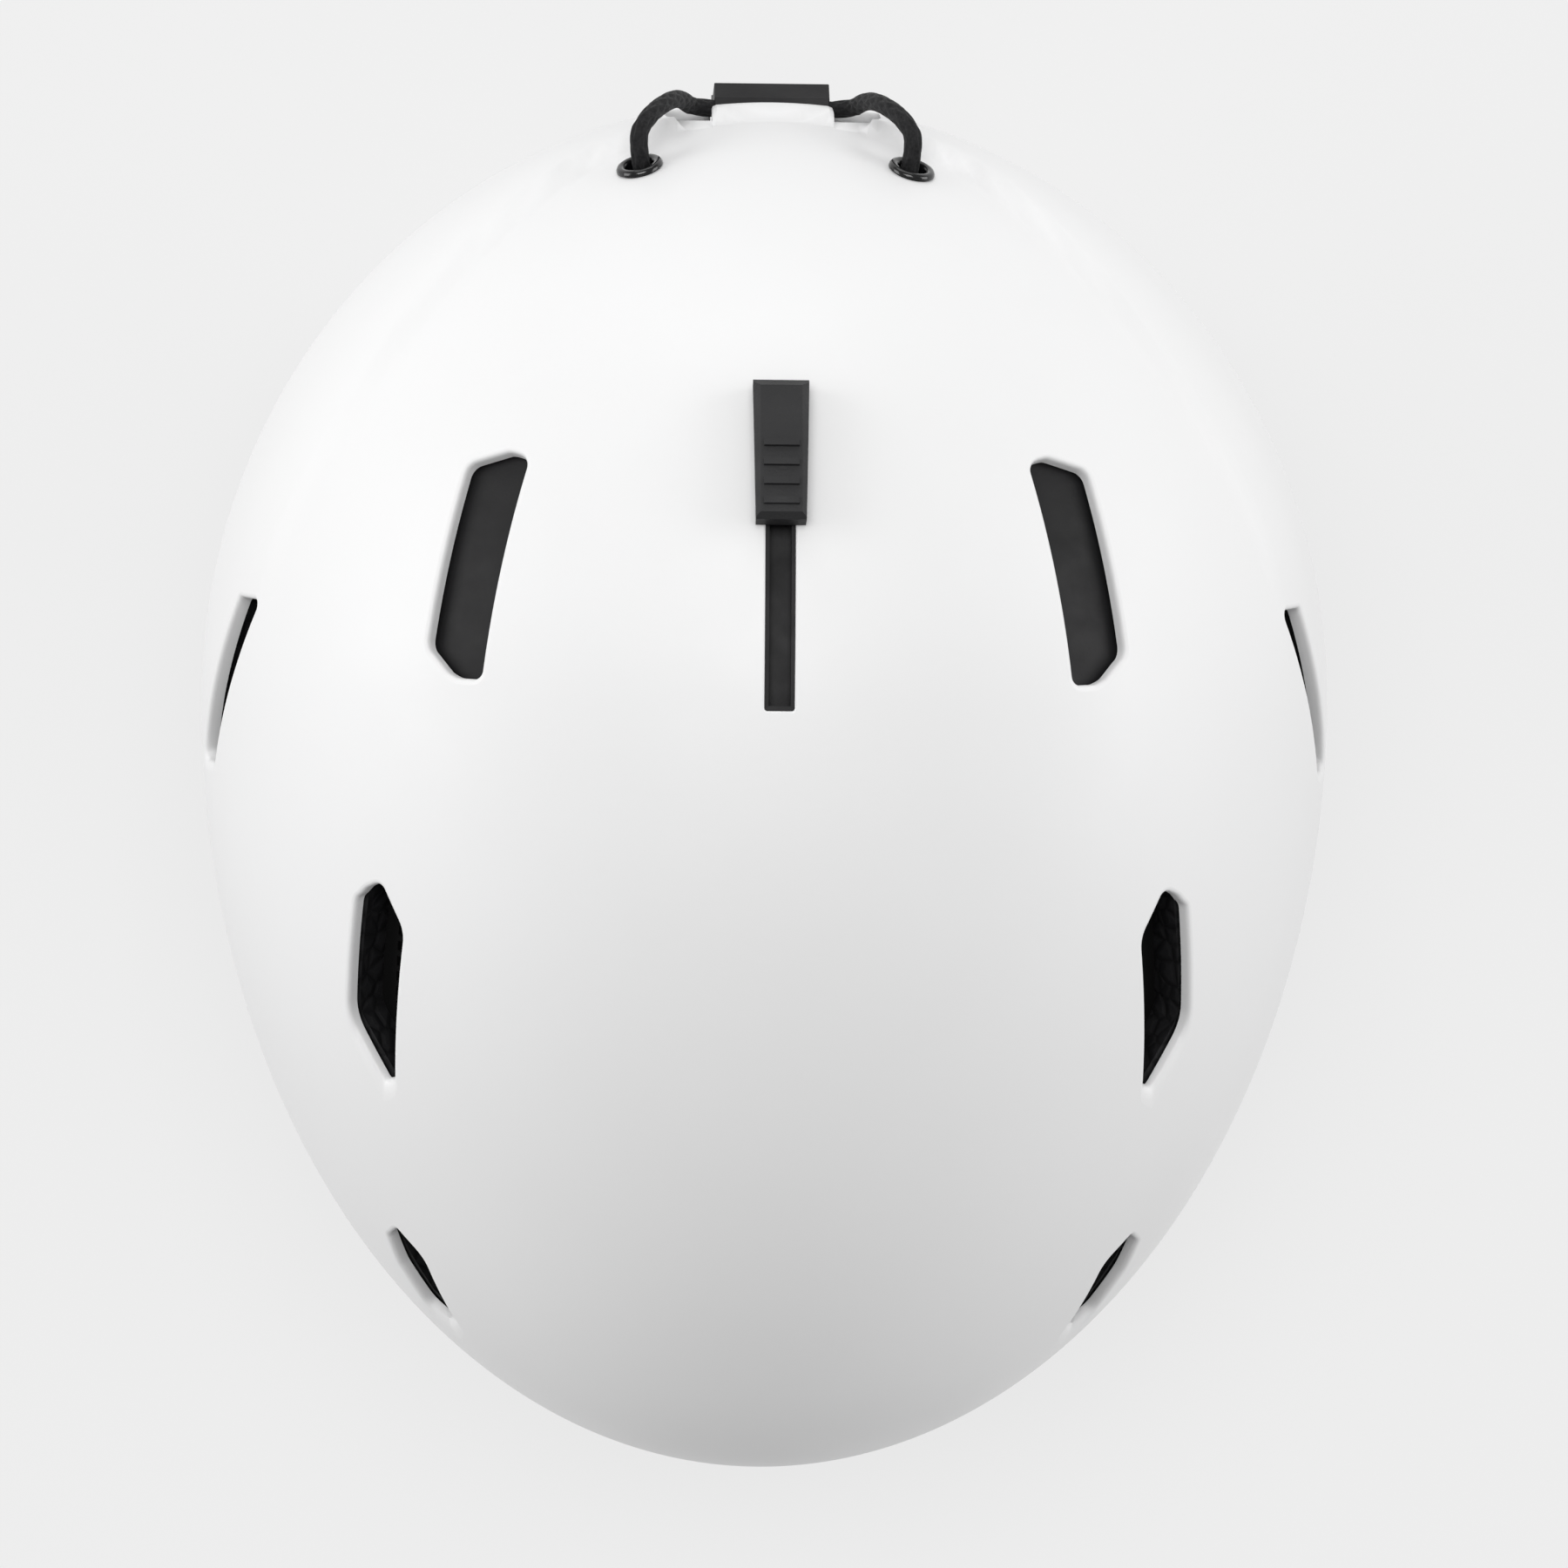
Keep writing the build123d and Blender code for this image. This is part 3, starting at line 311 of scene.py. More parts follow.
def sleeve(rings, around, ending="open"):
    """Quads of a sleeve of rings with points around; its ending is open, capped or looped."""
    faces = []
    for r in range(rings if ending == "looped" else rings - 1):
        n = (r + 1) % rings
        for k in range(around):
            d = (k + 1) % around
            faces.append((r * around + k, r * around + d, n * around + d, n * around + k))
    if ending == "capped":
        faces.append(tuple(range(around))[::-1])
        faces.append(tuple(range((rings - 1) * around, rings * around)))
    return faces


def install(obj, body, slot, *replaced):
    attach(obj, body)
    if replaced:
        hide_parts(*replaced)
    return obj


def rounded(corners, radii, step):
    """A closed outline with rounded corners, as points no further apart than step."""
    count = len(corners)
    if not isinstance(radii, (list, tuple)):
        radii = [radii] * count
    raw = []
    for i in range(count):
        here = Vector(corners[i])
        back = Vector(corners[i - 1]) - here
        ahead = Vector(corners[(i + 1) % count]) - here
        limit = 0.45 * min(back.length, ahead.length)
        back.normalize()
        ahead.normalize()
        half = acos(max(-1, min(1, back.dot(ahead)))) / 2
        reach = min(radii[i] / max(1e-6, np.tan(half)), limit)
        radius = reach * np.tan(half)
        middle = here + (back + ahead).normalized() * (radius / sin(half))
        start, end = here + back * reach, here + ahead * reach
        a = atan2(start.y - middle.y, start.x - middle.x)
        b = atan2(end.y - middle.y, end.x - middle.x)
        sweep = (b - a + pi) % (2 * pi) - pi
        pieces = max(2, min(14, int(abs(sweep) * radius / (0.4 * step)) + 2))
        for k in range(pieces + 1):
            t = a + sweep * k / pieces
            raw.append(Vector((middle.x + radius * cos(t), middle.y + radius * sin(t))))
    result = []
    for i, p in enumerate(raw):
        q = raw[(i + 1) % len(raw)]
        gap = (q - p).length
        if gap < 1e-6:
            continue
        parts = max(1, int(gap / step + 0.5))
        result.extend(p.lerp(q, k / parts) for k in range(parts))
    return result


def outline_normals(points):
    """Outward directions of a closed anticlockwise outline."""
    normals = []
    for i in range(len(points)):
        along = points[(i + 1) % len(points)] - points[i - 1]
        normals.append(Vector((along.y, -along.x)).normalized())
    return normals


def circle(out, up, radius, count):
    """Offsets around a circle in the plane of two directions."""
    turns = [2 * pi * k / count for k in range(count)]
    return [out * (radius * cos(t)) + up * (radius * sin(t)) for t in turns]


def area(points):
    return sum(p.x * q.y - q.x * p.y for p, q in zip(points, points[1:] + points[:1])) / 2


def anticlockwise(points):
    return points if area(points) > 0 else points[::-1]


def inside(px, py, polygon):
    """For arrays of points, which lie inside a polygon."""
    result = np.zeros(len(px), bool)
    for a, b in zip(polygon, polygon[1:] + polygon[:1]):
        crosses = (a.y > py) != (b.y > py)
        with np.errstate(divide="ignore", invalid="ignore"):
            edge = (b.x - a.x) * (py - a.y) / (b.y - a.y) + a.x
        result ^= crosses & (px < edge)
    return result


def within(px, py, boundary, holes):
    """For arrays of points, which lie inside an outline and outside its holes."""
    result = inside(px, py, boundary)
    for hole in holes:
        result &= ~inside(px, py, hole)
    return result


def distance_to(px, py, polygon, closed=True):
    """For arrays of points, the distance to a polyline."""
    best = np.full(len(px), 1e9)
    ends = polygon[1:] + (polygon[:1] if closed else [])
    for a, b in zip(polygon, ends):
        dx, dy = b.x - a.x, b.y - a.y
        size = dx * dx + dy * dy or 1e-12
        t = np.clip(((px - a.x) * dx + (py - a.y) * dy) / size, 0, 1)
        best = np.minimum(best, np.hypot(px - a.x - t * dx, py - a.y - t * dy))
    return best


# In steps of the fill: its row pitch, and how near a grid point may stand to a given one.
ROW_PITCH, CLEARANCE = 0.866, 0.55


def triangulate(boundary, holes, step, extra=()):
    """Fills an outline with even triangles, and returns points, faces and each ring's indices."""
    rings = [boundary, *holes]
    points, edges, starts = [], [], []
    for ring in rings:
        base = len(points)
        starts.append(base)
        points.extend(ring)
        edges.extend((base + i, base + (i + 1) % len(ring)) for i in range(len(ring)))
    points.extend(extra)
    tree = kdtree.KDTree(len(points))
    for i, p in enumerate(points):
        tree.insert((p.x, p.y, 0), i)
    tree.balance()
    xs, ys = [p.x for p in boundary], [p.y for p in boundary]
    rows = np.arange(min(ys), max(ys), step * ROW_PITCH)
    grid = []
    for row, y in enumerate(rows):
        grid.extend((x, y) for x in np.arange(min(xs) + (step / 2 if row % 2 else 0), max(xs), step))
    gx, gy = np.array(grid).T
    keep = within(gx, gy, boundary, holes)
    for x, y in zip(gx[keep], gy[keep]):
        if tree.find((x, y, 0))[2] > step * CLEARANCE:
            points.append(Vector((x, y)))
    found = delaunay_2d_cdt(points, edges, [], 0, 1e-7)
    out_points, faces, origins = found[0], found[2], found[3]
    where = {}
    for i, sources in enumerate(origins):
        for source in sources:
            where[source] = i
    cx = np.array([sum(out_points[i].x for i in f) / 3 for f in faces])
    cy = np.array([sum(out_points[i].y for i in f) / 3 for f in faces])
    kept = []
    for face, ok in zip(faces, within(cx, cy, boundary, holes)):
        if ok:
            a, b, c = (out_points[i] for i in face)
            turned = (b.x - a.x) * (c.y - a.y) - (b.y - a.y) * (c.x - a.x)
            kept.append(tuple(face) if turned > 0 else tuple(face)[::-1])
    loops = [[where[start + i] for i in range(len(ring))] for ring, start in zip(rings, starts)]
    return out_points, kept, loops


def bridge(faces, first, second):
    """Quads between two rings of equal length; the first ring is outside."""
    for i in range(len(first)):
        j = (i + 1) % len(first)
        faces.append((first[i], second[i], second[j], first[j]))


# ---- dome surface

# The crease of the rear view, as distance from the middle and height in millimetres.
CREASE = [(0, 83.5), (31.6, 96.3), (56, 111.5), (77, 119.0), (92, 116.5), (112, 109)]


def smooth(value):
    t = max(0.0, min(1.0, value))
    return t * t * (3 - 2 * t)


def crease_height(x):
    """The crease's height above the floor at a given x, on a smooth curve."""
    x = min(abs(x) / MM, 111.9)
    for i in range(len(CREASE) - 1):
        (x1, z1), (x2, z2) = CREASE[i], CREASE[i + 1]
        if x <= x2:
            x0, z0 = CREASE[i - 1] if i else (-CREASE[1][0], CREASE[1][1])
            x3, z3 = CREASE[i + 2] if i + 2 < len(CREASE) else (2 * x2 - x1, 2 * z2 - z1)
            m1, m2 = (z2 - z0) / (x2 - x0), (z3 - z1) / (x3 - x1)
            t = (x - x1) / (x2 - x1)
            h = x2 - x1
            return MM * ((1 + 2 * t) * (1 - t) ** 2 * z1 + t * (1 - t) ** 2 * h * m1
                         + t * t * (3 - 2 * t) * z2 + t * t * (t - 1) * h * m2)
    return MM * CREASE[-1][1]


def reach_at(y):
    return REAR if y > 0 else FRONT


def rise_at(z):
    return RISE if z > 0 else DROP


def to_map(p):
    """A point about the dome centre, as a point of the flat map around the crown."""
    u = Vector((p.x / HALF, p.y / reach_at(p.y), p.z / rise_at(p.z)))
    u.normalize()
    rho, phi = acos(max(-1, min(1, u.z))), atan2(u.y, u.x)
    return Vector((rho * cos(phi), rho * sin(phi))) * MAP_SCALE


SWELL = 0.0009


def skin(q):
    """The shell's outer surface over a point of the map, about the dome centre."""
    rho, phi = q.length / MAP_SCALE, atan2(q.y, q.x)
    ux, uy, uz = sin(rho) * cos(phi), sin(rho) * sin(phi), cos(rho)
    x, z = HALF * ux, uz * rise_at(uz)
    if uy <= 0:
        return Vector((x, FRONT * uy, z))
    below = crease_height(x) - (z + EQ)
    lip = smooth((below + 0.0012) / 0.0030)
    depth = REAR + (LIP - REAR) * lip
    y = depth * uy
    swell = (smooth(below / 0.0025) * (1 - smooth((below - 0.007) / 0.022))
             * smooth((y - 0.004) / 0.03) * smooth((abs(x) - 0.02) / 0.03))
    outward = Vector((x / HALF ** 2, y / depth ** 2, z / rise_at(z) ** 2)).normalized()
    return Vector((x, y, z)) + outward * (SWELL * swell)


def skin_normal(q):
    d = 0.0004
    a = skin(q + Vector((d, 0))) - skin(q - Vector((d, 0)))
    b = skin(q + Vector((0, d))) - skin(q - Vector((0, d)))
    return a.cross(b).normalized()


def ellipsoid(p):
    return (p.x / HALF) ** 2 + (p.y / reach_at(p.y)) ** 2 + (p.z / rise_at(p.z)) ** 2 - 1


def behind(x, z):
    """The dome's distance behind its centre at a place of the rear view."""
    return REAR * sqrt(max(0.0, 1 - (x / HALF) ** 2 - (z / rise_at(z)) ** 2))


def drop_on(p, direction):
    """The point of the crown dome reached from p along a direction."""
    for _ in range(12):
        f = ellipsoid(p)
        slope = (ellipsoid(p + direction * 1e-5) - f) / 1e-5
        p = p - direction * (f / slope)
    return p


# ---- outer shell

RIM = [(-220, 61), (-62, 57), (-50, 45), (46, 45), (72, 0), (220, 0)]
RIM_CORNER = 0.007
TRIM_HEIGHT = 3
NOTCH_HALF, NOTCH_TOP, NOTCH_ROUND = 34, 30, 10
BROW_SHARE = 0.42


def rim_line():
    """The rim in the side view, in metres: distance behind the dome centre and height."""
    corners = [Vector((y * MM, (z + TRIM_HEIGHT) * MM)) for y, z in RIM]
    line = [corners[0]]
    for before, here, after in zip(corners, corners[1:], corners[2:]):
        a, b = (before - here).normalized(), (after - here).normalized()
        half = a.angle(b) / 2
        reach = RIM_CORNER / np.tan(half)
        for k in range(9):
            t = k / 8
            start, end = here + a * reach, here + b * reach
            line.append((1 - t) ** 2 * start + 2 * t * (1 - t) * here + t * t * end)
    line.append(corners[-1])
    return line


def rim_boundary(step):
    """The shell's lower edge around both sides and the nape notch, on the map."""
    line = rim_line()
    samples = []
    for a, b in zip(line, line[1:]):
        parts = max(1, int((b - a).length / step))
        samples.extend(a.lerp(b, k / parts) for k in range(parts))
    side = []
    for y, z in samples:
        x2 = 1 - (y / reach_at(y)) ** 2 - ((z - EQ) / rise_at(z - EQ)) ** 2
        if x2 > 0:
            x = HALF * sqrt(x2)
            if y < 0 or x > NOTCH_HALF * MM:
                side.append(Vector((x, y, z - EQ)))
    tip_z = line[0].lerp(line[1], BROW_SHARE).y - EQ
    flat = []
    for k in range(1, 6):
        x = side[0].x * k / 6
        up = side[0].z / DROP
        flat.append(Vector((x, -FRONT * sqrt(max(0, 1 - (x / HALF) ** 2 - up ** 2)), side[0].z)))
    notch = [(NOTCH_HALF, z) for z in np.arange(TRIM_HEIGHT + 1.5, NOTCH_TOP - NOTCH_ROUND, 1.5)]
    corner_x, corner_z = NOTCH_HALF - NOTCH_ROUND, NOTCH_TOP - NOTCH_ROUND
    for k in range(8):
        t = pi / 2 * k / 7
        notch.append((corner_x + NOTCH_ROUND * cos(t), corner_z + NOTCH_ROUND * sin(t)))
    notch.extend((x, NOTCH_TOP) for x in np.arange(corner_x - 1.5, 0.5, -1.5))
    rear = [Vector((x * MM, behind(x * MM, z * MM - EQ), z * MM - EQ)) for x, z in notch]
    left = [to_map(p) for p in flat + side + rear]
    right = [Vector((-p.x, p.y)) for p in left[::-1]]
    start = to_map(Vector((0, -FRONT * sqrt(1 - (tip_z / DROP) ** 2), side[0].z)))
    end = to_map(Vector((0, behind(0, NOTCH_TOP * MM - EQ), NOTCH_TOP * MM - EQ)))
    return anticlockwise([start, *left, end, *right])


# Each vent of the wearer's left: its place on the dome, its outward and lengthwise axes, its corners
# and their rounding, the share of the wall's sideways run that widens the hole, the ramp that runs out
# beyond the front tip, and the wall's depth. Lengths are in millimetres.
VENTS = {
    "rear": ((55, 24.5, 88.7), (0.469, 0.195, 0.861), (0.142, -0.979, 0.144),
             [(-23.4, -4.6), (21.2, -1.7), (21.2, 3.8), (16.2, 9.3), (-19.4, 7.0)],
             [2.5, 1.8, 2.5, 3.5, 2.8], 1.0, 0.3, 2.4),
    "mid": ((74.2, -54, 69.3), (0.662, -0.260, 0.703), (0.042, -0.923, -0.381),
            [(-20, 2.8), (-11.5, -4.4), (21.4, -3.4), (9.5, 6.8), (-15.5, 6.1)],
            [2.2, 6, 0.7, 9, 3.5], 1.0, 4.5, 2.4),
    "front": ((65.5, -113, 34.7), (0.670, -0.623, 0.403), (-0.370, -0.751, -0.546),
              [(-12.3, 3.9), (-5.9, -1.9), (12.5, -0.6), (8.8, 4.4), (-2, 5.6)], [0.8, 6, 0.6, 3, 6],
              0.9, 6.0, 2.4),
    "side": ((106, 3, 33.8), (0.940, 0.025, 0.341), (0.225, -0.795, -0.564),
             [(-21, -3.0), (18.5, -2.8), (25, 7.3), (-15.5, 5.4)], [1.2, 2, 1.5, 1.5], 0.0, 1.5, 2.8),
}
VENT_STEP = 0.0010
VENT_BEVEL = 0.0009
# From below to the surface: the share of the bevel, the share of the ramp, and the depth. The first
# row's depth is the wall's own.
VENT_PROFILE = [(0.0, 0.0, None), (0.0, 0.0, 1.1), (0.06, 0.15, 0.6), (0.3, 0.4, 0.22), (0.62, 0.75, 0.06),
                (1.0, 1.0, 0.0)]


def vent_rings(vent):
    """Rings of one vent on the left side: the hole's wall from below up to the smooth surface."""
    at, out, along, corners, rounds, wall, ramp, deep = vent
    at, out, along = Vector(at) * MM, Vector(out).normalized(), Vector(along).normalized()
    across = out.cross(along)
    outline = rounded([(x * MM, y * MM) for x, y in corners], [r * MM for r in rounds], VENT_STEP)
    outline = anticlockwise(outline)
    normals = outline_normals(outline)
    ramp_share = [max(0.0, n.x) ** 1.5 for n in normals]
    for _ in range(6):
        following = ramp_share[1:] + ramp_share[:1]
        before = ramp_share[-1:] + ramp_share[:-1]
        ramp_share = [(a + 2 * b + c) / 4 for a, b, c in zip(before, ramp_share, following)]
    axes = [[along.x, across.x], [along.y, across.y]]
    run = np.linalg.solve(axes, [out.x, out.y]) * deep * MM * wall
    run = Vector((float(run[0]), float(run[1])))
    facing = run.normalized() if run.length > 1e-9 else Vector((0, 1))
    run_share = [smooth((n.dot(facing) + 0.15) / 0.75) for n in normals]
    rings = []
    for edge, share, depth in VENT_PROFILE:
        depth = deep if depth is None else depth
        ring = []
        for p, n, forward, away in zip(outline, normals, ramp_share, run_share):
            spread = run * away + n * (edge * VENT_BEVEL)
            spread += Vector((forward * ramp * MM * share, 0))
            spot = p + spread
            flat = at + along * spot.x + across * spot.y
            ring.append((drop_on(flat, out), depth * MM))
        rings.append(ring)
    return rings


EYELET = (0.0263, 0.1028)
EYELET_POINTS = 36


def eyelet_frame(side):
    """The eyelet's place on the dome, its outward direction and two directions across it."""
    x, y = EYELET
    z = RISE * sqrt(1 - (x / HALF) ** 2 - (y / REAR) ** 2)
    normal = Vector((side * x / HALF ** 2, y / REAR ** 2, z / RISE ** 2)).normalized()
    across = normal.orthogonal().normalized()
    return Vector((side * x, y, z)), normal, across, normal.cross(across)


SLOT_ROUND, SLOT_STEP = 0.0005, 0.0012
SLOT = [(-0.0028, -0.002), (0.0028, -0.002), (0.0028, 0.049), (-0.0028, 0.049)]
RECESS_FLOOR = 0.1138
RECESS_THICK = 0.0022
RECESS = [(-0.012, -0.027), (0.012, -0.027), (0.012, 0.003), (0.021, 0.003), (0.021, 0.024), (0.012, 0.024),
          (0.012, 0.0131), (-0.012, 0.0131), (-0.012, 0.024), (-0.021, 0.024), (-0.021, 0.003),
          (-0.012, 0.003)]
RECESS_ROUNDS = [0.003, 0.003, 0.0015, 0.004, 0.005, 0.002, 0.0008, 0.0008, 0.002, 0.005, 0.004, 0.0015]


def rear_point(x, z):
    """The shell's outer surface behind a point of the rear view."""
    return skin(to_map(Vector((x, behind(x, z), z))))


def recess_floor_point(p):
    """The recess floor at a place of the rear view, kept under the skin where that curves away."""
    return Vector((p.x, min(RECESS_FLOOR, rear_point(p.x, p.y).y - 0.0005), p.y))


def sunk(line):
    """Points at their depths below the skin, from pairs of map point and depth."""
    return [skin(q) - skin_normal(q) * depth for q, depth in line]


RIM_STEP, SHELL_STEP, FLOOR_STEP = 0.0016, 0.0024, 0.0025


def build_shell():
    holes, walls = [], []
    for vent in VENTS.values():
        rings = vent_rings(vent)
        for side in (1, -1):
            local = []
            for ring in rings:
                local.append([(to_map(Vector((side * p.x, p.y, p.z))), depth) for p, depth in ring])
            if area([q for q, _ in local[-1]]) < 0:
                local = [line[::-1] for line in local]
            holes.append([q for q, _ in local[-1]])
            walls.append([sunk(line) for line in local[:-1]][::-1])

    def simple_hole(outline_rings):
        """outline_rings: from the surface inwards, lists of (map point, depth)."""
        holes.append([q for q, _ in outline_rings[0]])
        walls.append([sunk(line) for line in outline_rings[1:]])

    slot = anticlockwise(rounded(SLOT, SLOT_ROUND, SLOT_STEP))
    slot_normals = outline_normals(slot)
    slot_rings = []
    for spread, depth in ((0.0004, 0.0), (0.00012, 0.0001), (0.0, 0.0004), (0.0, SHELL_THICK)):
        ring = []
        for p, n in zip(slot, slot_normals):
            x, y = p.x + n.x * spread, p.y + n.y * spread
            z = RISE * sqrt(1 - (x / HALF) ** 2 - (y / reach_at(y)) ** 2)
            ring.append((to_map(Vector((x, y, z))), depth))
        slot_rings.append(ring)
    simple_hole(slot_rings)

    for side in (1, -1):
        at, normal, across, other = eyelet_frame(side)
        rings = []
        for radius, depth in ((0.0043, 0.0), (0.0038, 0.0003), (0.0038, SHELL_THICK)):
            spots = circle(across, other, radius, EYELET_POINTS)
            rings.append([(to_map(drop_on(at + spot, normal)), depth) for spot in spots])
        if area([q for q, _ in rings[0]]) < 0:
            rings = [ring[::-1] for ring in rings]
        simple_hole(rings)

    recess = anticlockwise(rounded(RECESS, RECESS_ROUNDS, 0.0010))
    recess_normals = outline_normals(recess)
    recess_map, edge_ring, wall_ring, floor_ring = [], [], [], []
    for p, n in zip(recess, recess_normals):
        wide, narrow = p + n * 0.0007, p + n * 0.0002
        recess_map.append(to_map(rear_point(wide.x, wide.y)))
        spot = rear_point(narrow.x, narrow.y)
        edge_ring.append(Vector((spot.x, min(spot.y - 0.00015, max(spot.y - 0.0002, RECESS_FLOOR)), spot.z)))
        y = rear_point(p.x, p.y).y
        wall_ring.append(Vector((p.x, y - 0.0007 if y - 0.0007 > RECESS_FLOOR else y - 0.0003, p.y)))
        floor_ring.append(recess_floor_point(p))
    recess_walls = [edge_ring, wall_ring, floor_ring]
    if area(recess_map) < 0:
        recess_map = recess_map[::-1]
        recess_walls = [ring[::-1] for ring in recess_walls]
    holes.append(recess_map)
    walls.append(recess_walls)

    flat, faces, loops = triangulate(rim_boundary(RIM_STEP), holes, SHELL_STEP)
    points = [skin(q) for q in flat]
    base = len(points)
    points += sunk([(q, SHELL_THICK) for q in flat])
    faces += [tuple(i + base for i in face[::-1]) for face in faces]
    bridge(faces, [i + base for i in loops[0]], loops[0])
    for loop, rings in zip(loops[1:], walls):
        current = loop
        for ring in rings:
            following = list(range(len(points), len(points) + len(ring)))
            points.extend(ring)
            bridge(faces, current, following)
            current = following
        if rings is not recess_walls:
            bridge(faces, current, [i + base for i in loop])
            continue
        inward = Vector((0, -RECESS_THICK, 0))
        floor_outline = anticlockwise([Vector((points[i].x, points[i].z)) for i in current])
        floor_points, floor_faces, _ = triangulate(floor_outline, [], FLOOR_STEP)
        for shift, flip in ((Vector(), False), (inward, True)):
            start = len(points)
            points.extend(recess_floor_point(p) + shift for p in floor_points)
            for face in floor_faces:
                shifted = tuple(i + start for i in face)
                faces.append(shifted if flip else shifted[::-1])
        start = len(points)
        points.extend([points[i] + inward for i in current])
        bridge(faces, [i + base for i in loop], list(range(start, len(points))))
    shell = make_object("shell_skin", [p + CENTRE for p in points], faces, WHITE_SHELL, 50)
    weld = shell.modifiers.new("weld", "WELD")
    weld.merge_threshold = 0.00002
    install(shell, "root", "shell", "outer_shell")


build_shell()


# ---- pads and straps

# Each of these places a point of a flat outline on the dome, at an inset from its surface.

def at_side(side):
    """From the side: distance behind the dome centre, and height."""
    def place(y, z, inset):
        depth, rise = reach_at(y) - inset, rise_at(z - EQ) - inset
        x = (HALF - inset) * sqrt(max(0.0, 1 - (y / depth) ** 2 - ((z - EQ) / rise) ** 2))
        return CENTRE + Vector((side * x, y, z - EQ))
    return place


ROUND_SCALE = 0.1


def at_round(u, z, inset):
    """Around the head: the angle from the wearer's left times ROUND_SCALE, and height."""
    phi = u / ROUND_SCALE
    s = sqrt(max(0.0, 1 - ((z - EQ) / (rise_at(z - EQ) - inset)) ** 2))
    depth = reach_at(sin(phi)) - inset
    return CENTRE + Vector(((HALF - inset) * s * cos(phi), depth * s * sin(phi), z - EQ))


def at_top(x, y, inset):
    """From above."""
    depth = reach_at(y) - inset
    z = (RISE - inset) * sqrt(max(0.0, 1 - (x / (HALF - inset)) ** 2 - (y / depth) ** 2))
    return CENTRE + Vector((x, y, z))


def pad_geometry(corners, radius, place, layer, edge, step, seams=(), groove=0.0012, crown=0.0,
                 seam_width=0.0013):
    """A closed pad between two insets with rounded sides, a soft crown and sewn grooves."""
    outline = anticlockwise(rounded(corners, radius, step * 0.7))
    normals = outline_normals(outline)
    extra = []
    for share in (0.12, 0.35, 0.7, 1.0):
        extra.extend(p - n * (edge * share) for p, n in zip(outline, normals))
    for seam in seams:
        for a, b in zip(seam, seam[1:]):
            a, b = Vector(a), Vector(b)
            parts = max(1, int((b - a).length / (step * 0.7)))
            side = Vector((-(b - a).y, (b - a).x)).normalized() * seam_width
            for k in range(parts):
                middle = a.lerp(b, (k + 0.5) / parts)
                extra.extend((middle, middle + side, middle - side))
    ex = np.array([p.x for p in extra])
    ey = np.array([p.y for p in extra])
    clear = inside(ex, ey, outline) & (distance_to(ex, ey, outline) > edge * 0.08)
    flat, faces, loops = triangulate(outline, [], step, [p for p, good in zip(extra, clear) if good])
    px, py = np.array([p.x for p in flat]), np.array([p.y for p in flat])
    depth = distance_to(px, py, outline)
    share = np.clip(depth / edge, 0, 1)
    full = np.sqrt(np.clip(1 - (1 - share) ** 2, 0, 1))
    widest = max(depth.max(), edge * 1.01)
    dome = 1 - crown * (1 - np.clip(depth / widest, 0, 1)) ** 2
    cut = np.zeros(len(flat))
    for seam in seams:
        line = [Vector(p) for p in seam]
        cut = np.maximum(cut, np.exp(-(distance_to(px, py, line, False) / seam_width) ** 2))
    middle, half = (layer[0] + layer[1]) / 2, (layer[1] - layer[0]) / 2
    reach = full * dome * half - cut * groove * full
    rim = set(loops[0])
    points = [place(p.x, p.y, middle - r) for p, r in zip(flat, reach)]
    lower, uv = {}, [(p.x, p.y) for p in flat]
    for i, (p, r) in enumerate(zip(flat, reach)):
        if i in rim:
            lower[i] = i
        else:
            lower[i] = len(points)
            points.append(place(p.x, p.y, middle + r))
            uv.append((p.x, p.y))
    faces += [tuple(lower[i] for i in face[::-1]) for face in faces]
    return points, faces, uv


def merge(parts):
    points, faces, uv = [], [], []
    for some_points, some_faces, some_uv in parts:
        base = len(points)
        points.extend(some_points)
        faces.extend(tuple(i + base for i in face) for face in some_faces)
        uv.extend(some_uv)
    return points, faces, uv


def fix_normals(obj, weld=0.0):
    mesh = bmesh.new()
    mesh.from_mesh(obj.data)
    if weld:
        bmesh.ops.remove_doubles(mesh, verts=mesh.verts, dist=weld)
    bmesh.ops.recalc_face_normals(mesh, faces=mesh.faces)
    mesh.to_mesh(obj.data)
    mesh.free()
    return obj


# The comfort pads: the insets of their two faces, their rounded edge, mesh step and crown.
PAD_LAYER = (0.0243, 0.0310)
PAD_EDGE, PAD_STEP, PAD_CROWN = 0.0034, 0.0028, 0.1


def mm(*pairs):
    return [(a * MM, b * MM) for a, b in pairs]


def arc(*pairs):
    """Angle in degrees and height in millimetres, for at_round."""
    return [(radians(a) * ROUND_SCALE, b * MM) for a, b in pairs]


def sewn(name, parts, material):
    """One object of several pieces of fabric."""
    points, faces, uv = merge(parts)
    return fix_normals(make_object(name, points, faces, material, 60, uv))


def add_pad(name, parts, material, node, body="root", slot="padding"):
    pad = install(sewn(name, parts, material), body, slot, node)


def comfort_pad(corners, radius, place, seams, step=PAD_STEP):
    return pad_geometry(corners, radius, place, PAD_LAYER, PAD_EDGE, step, seams, crown=PAD_CROWN)


brow_corners = arc((-148, 66.4), (-32, 66.4), (-35, 94), (-90, 91), (-145, 94))
brow_seams = [arc((-118, 67), (-117, 92)), arc((-62, 67), (-63, 92)), arc((-90, 67), (-90, 91))]
add_pad("brow_pad_fabric", [comfort_pad(brow_corners, 0.006, at_round, brow_seams)], LINING, "brow_pad")

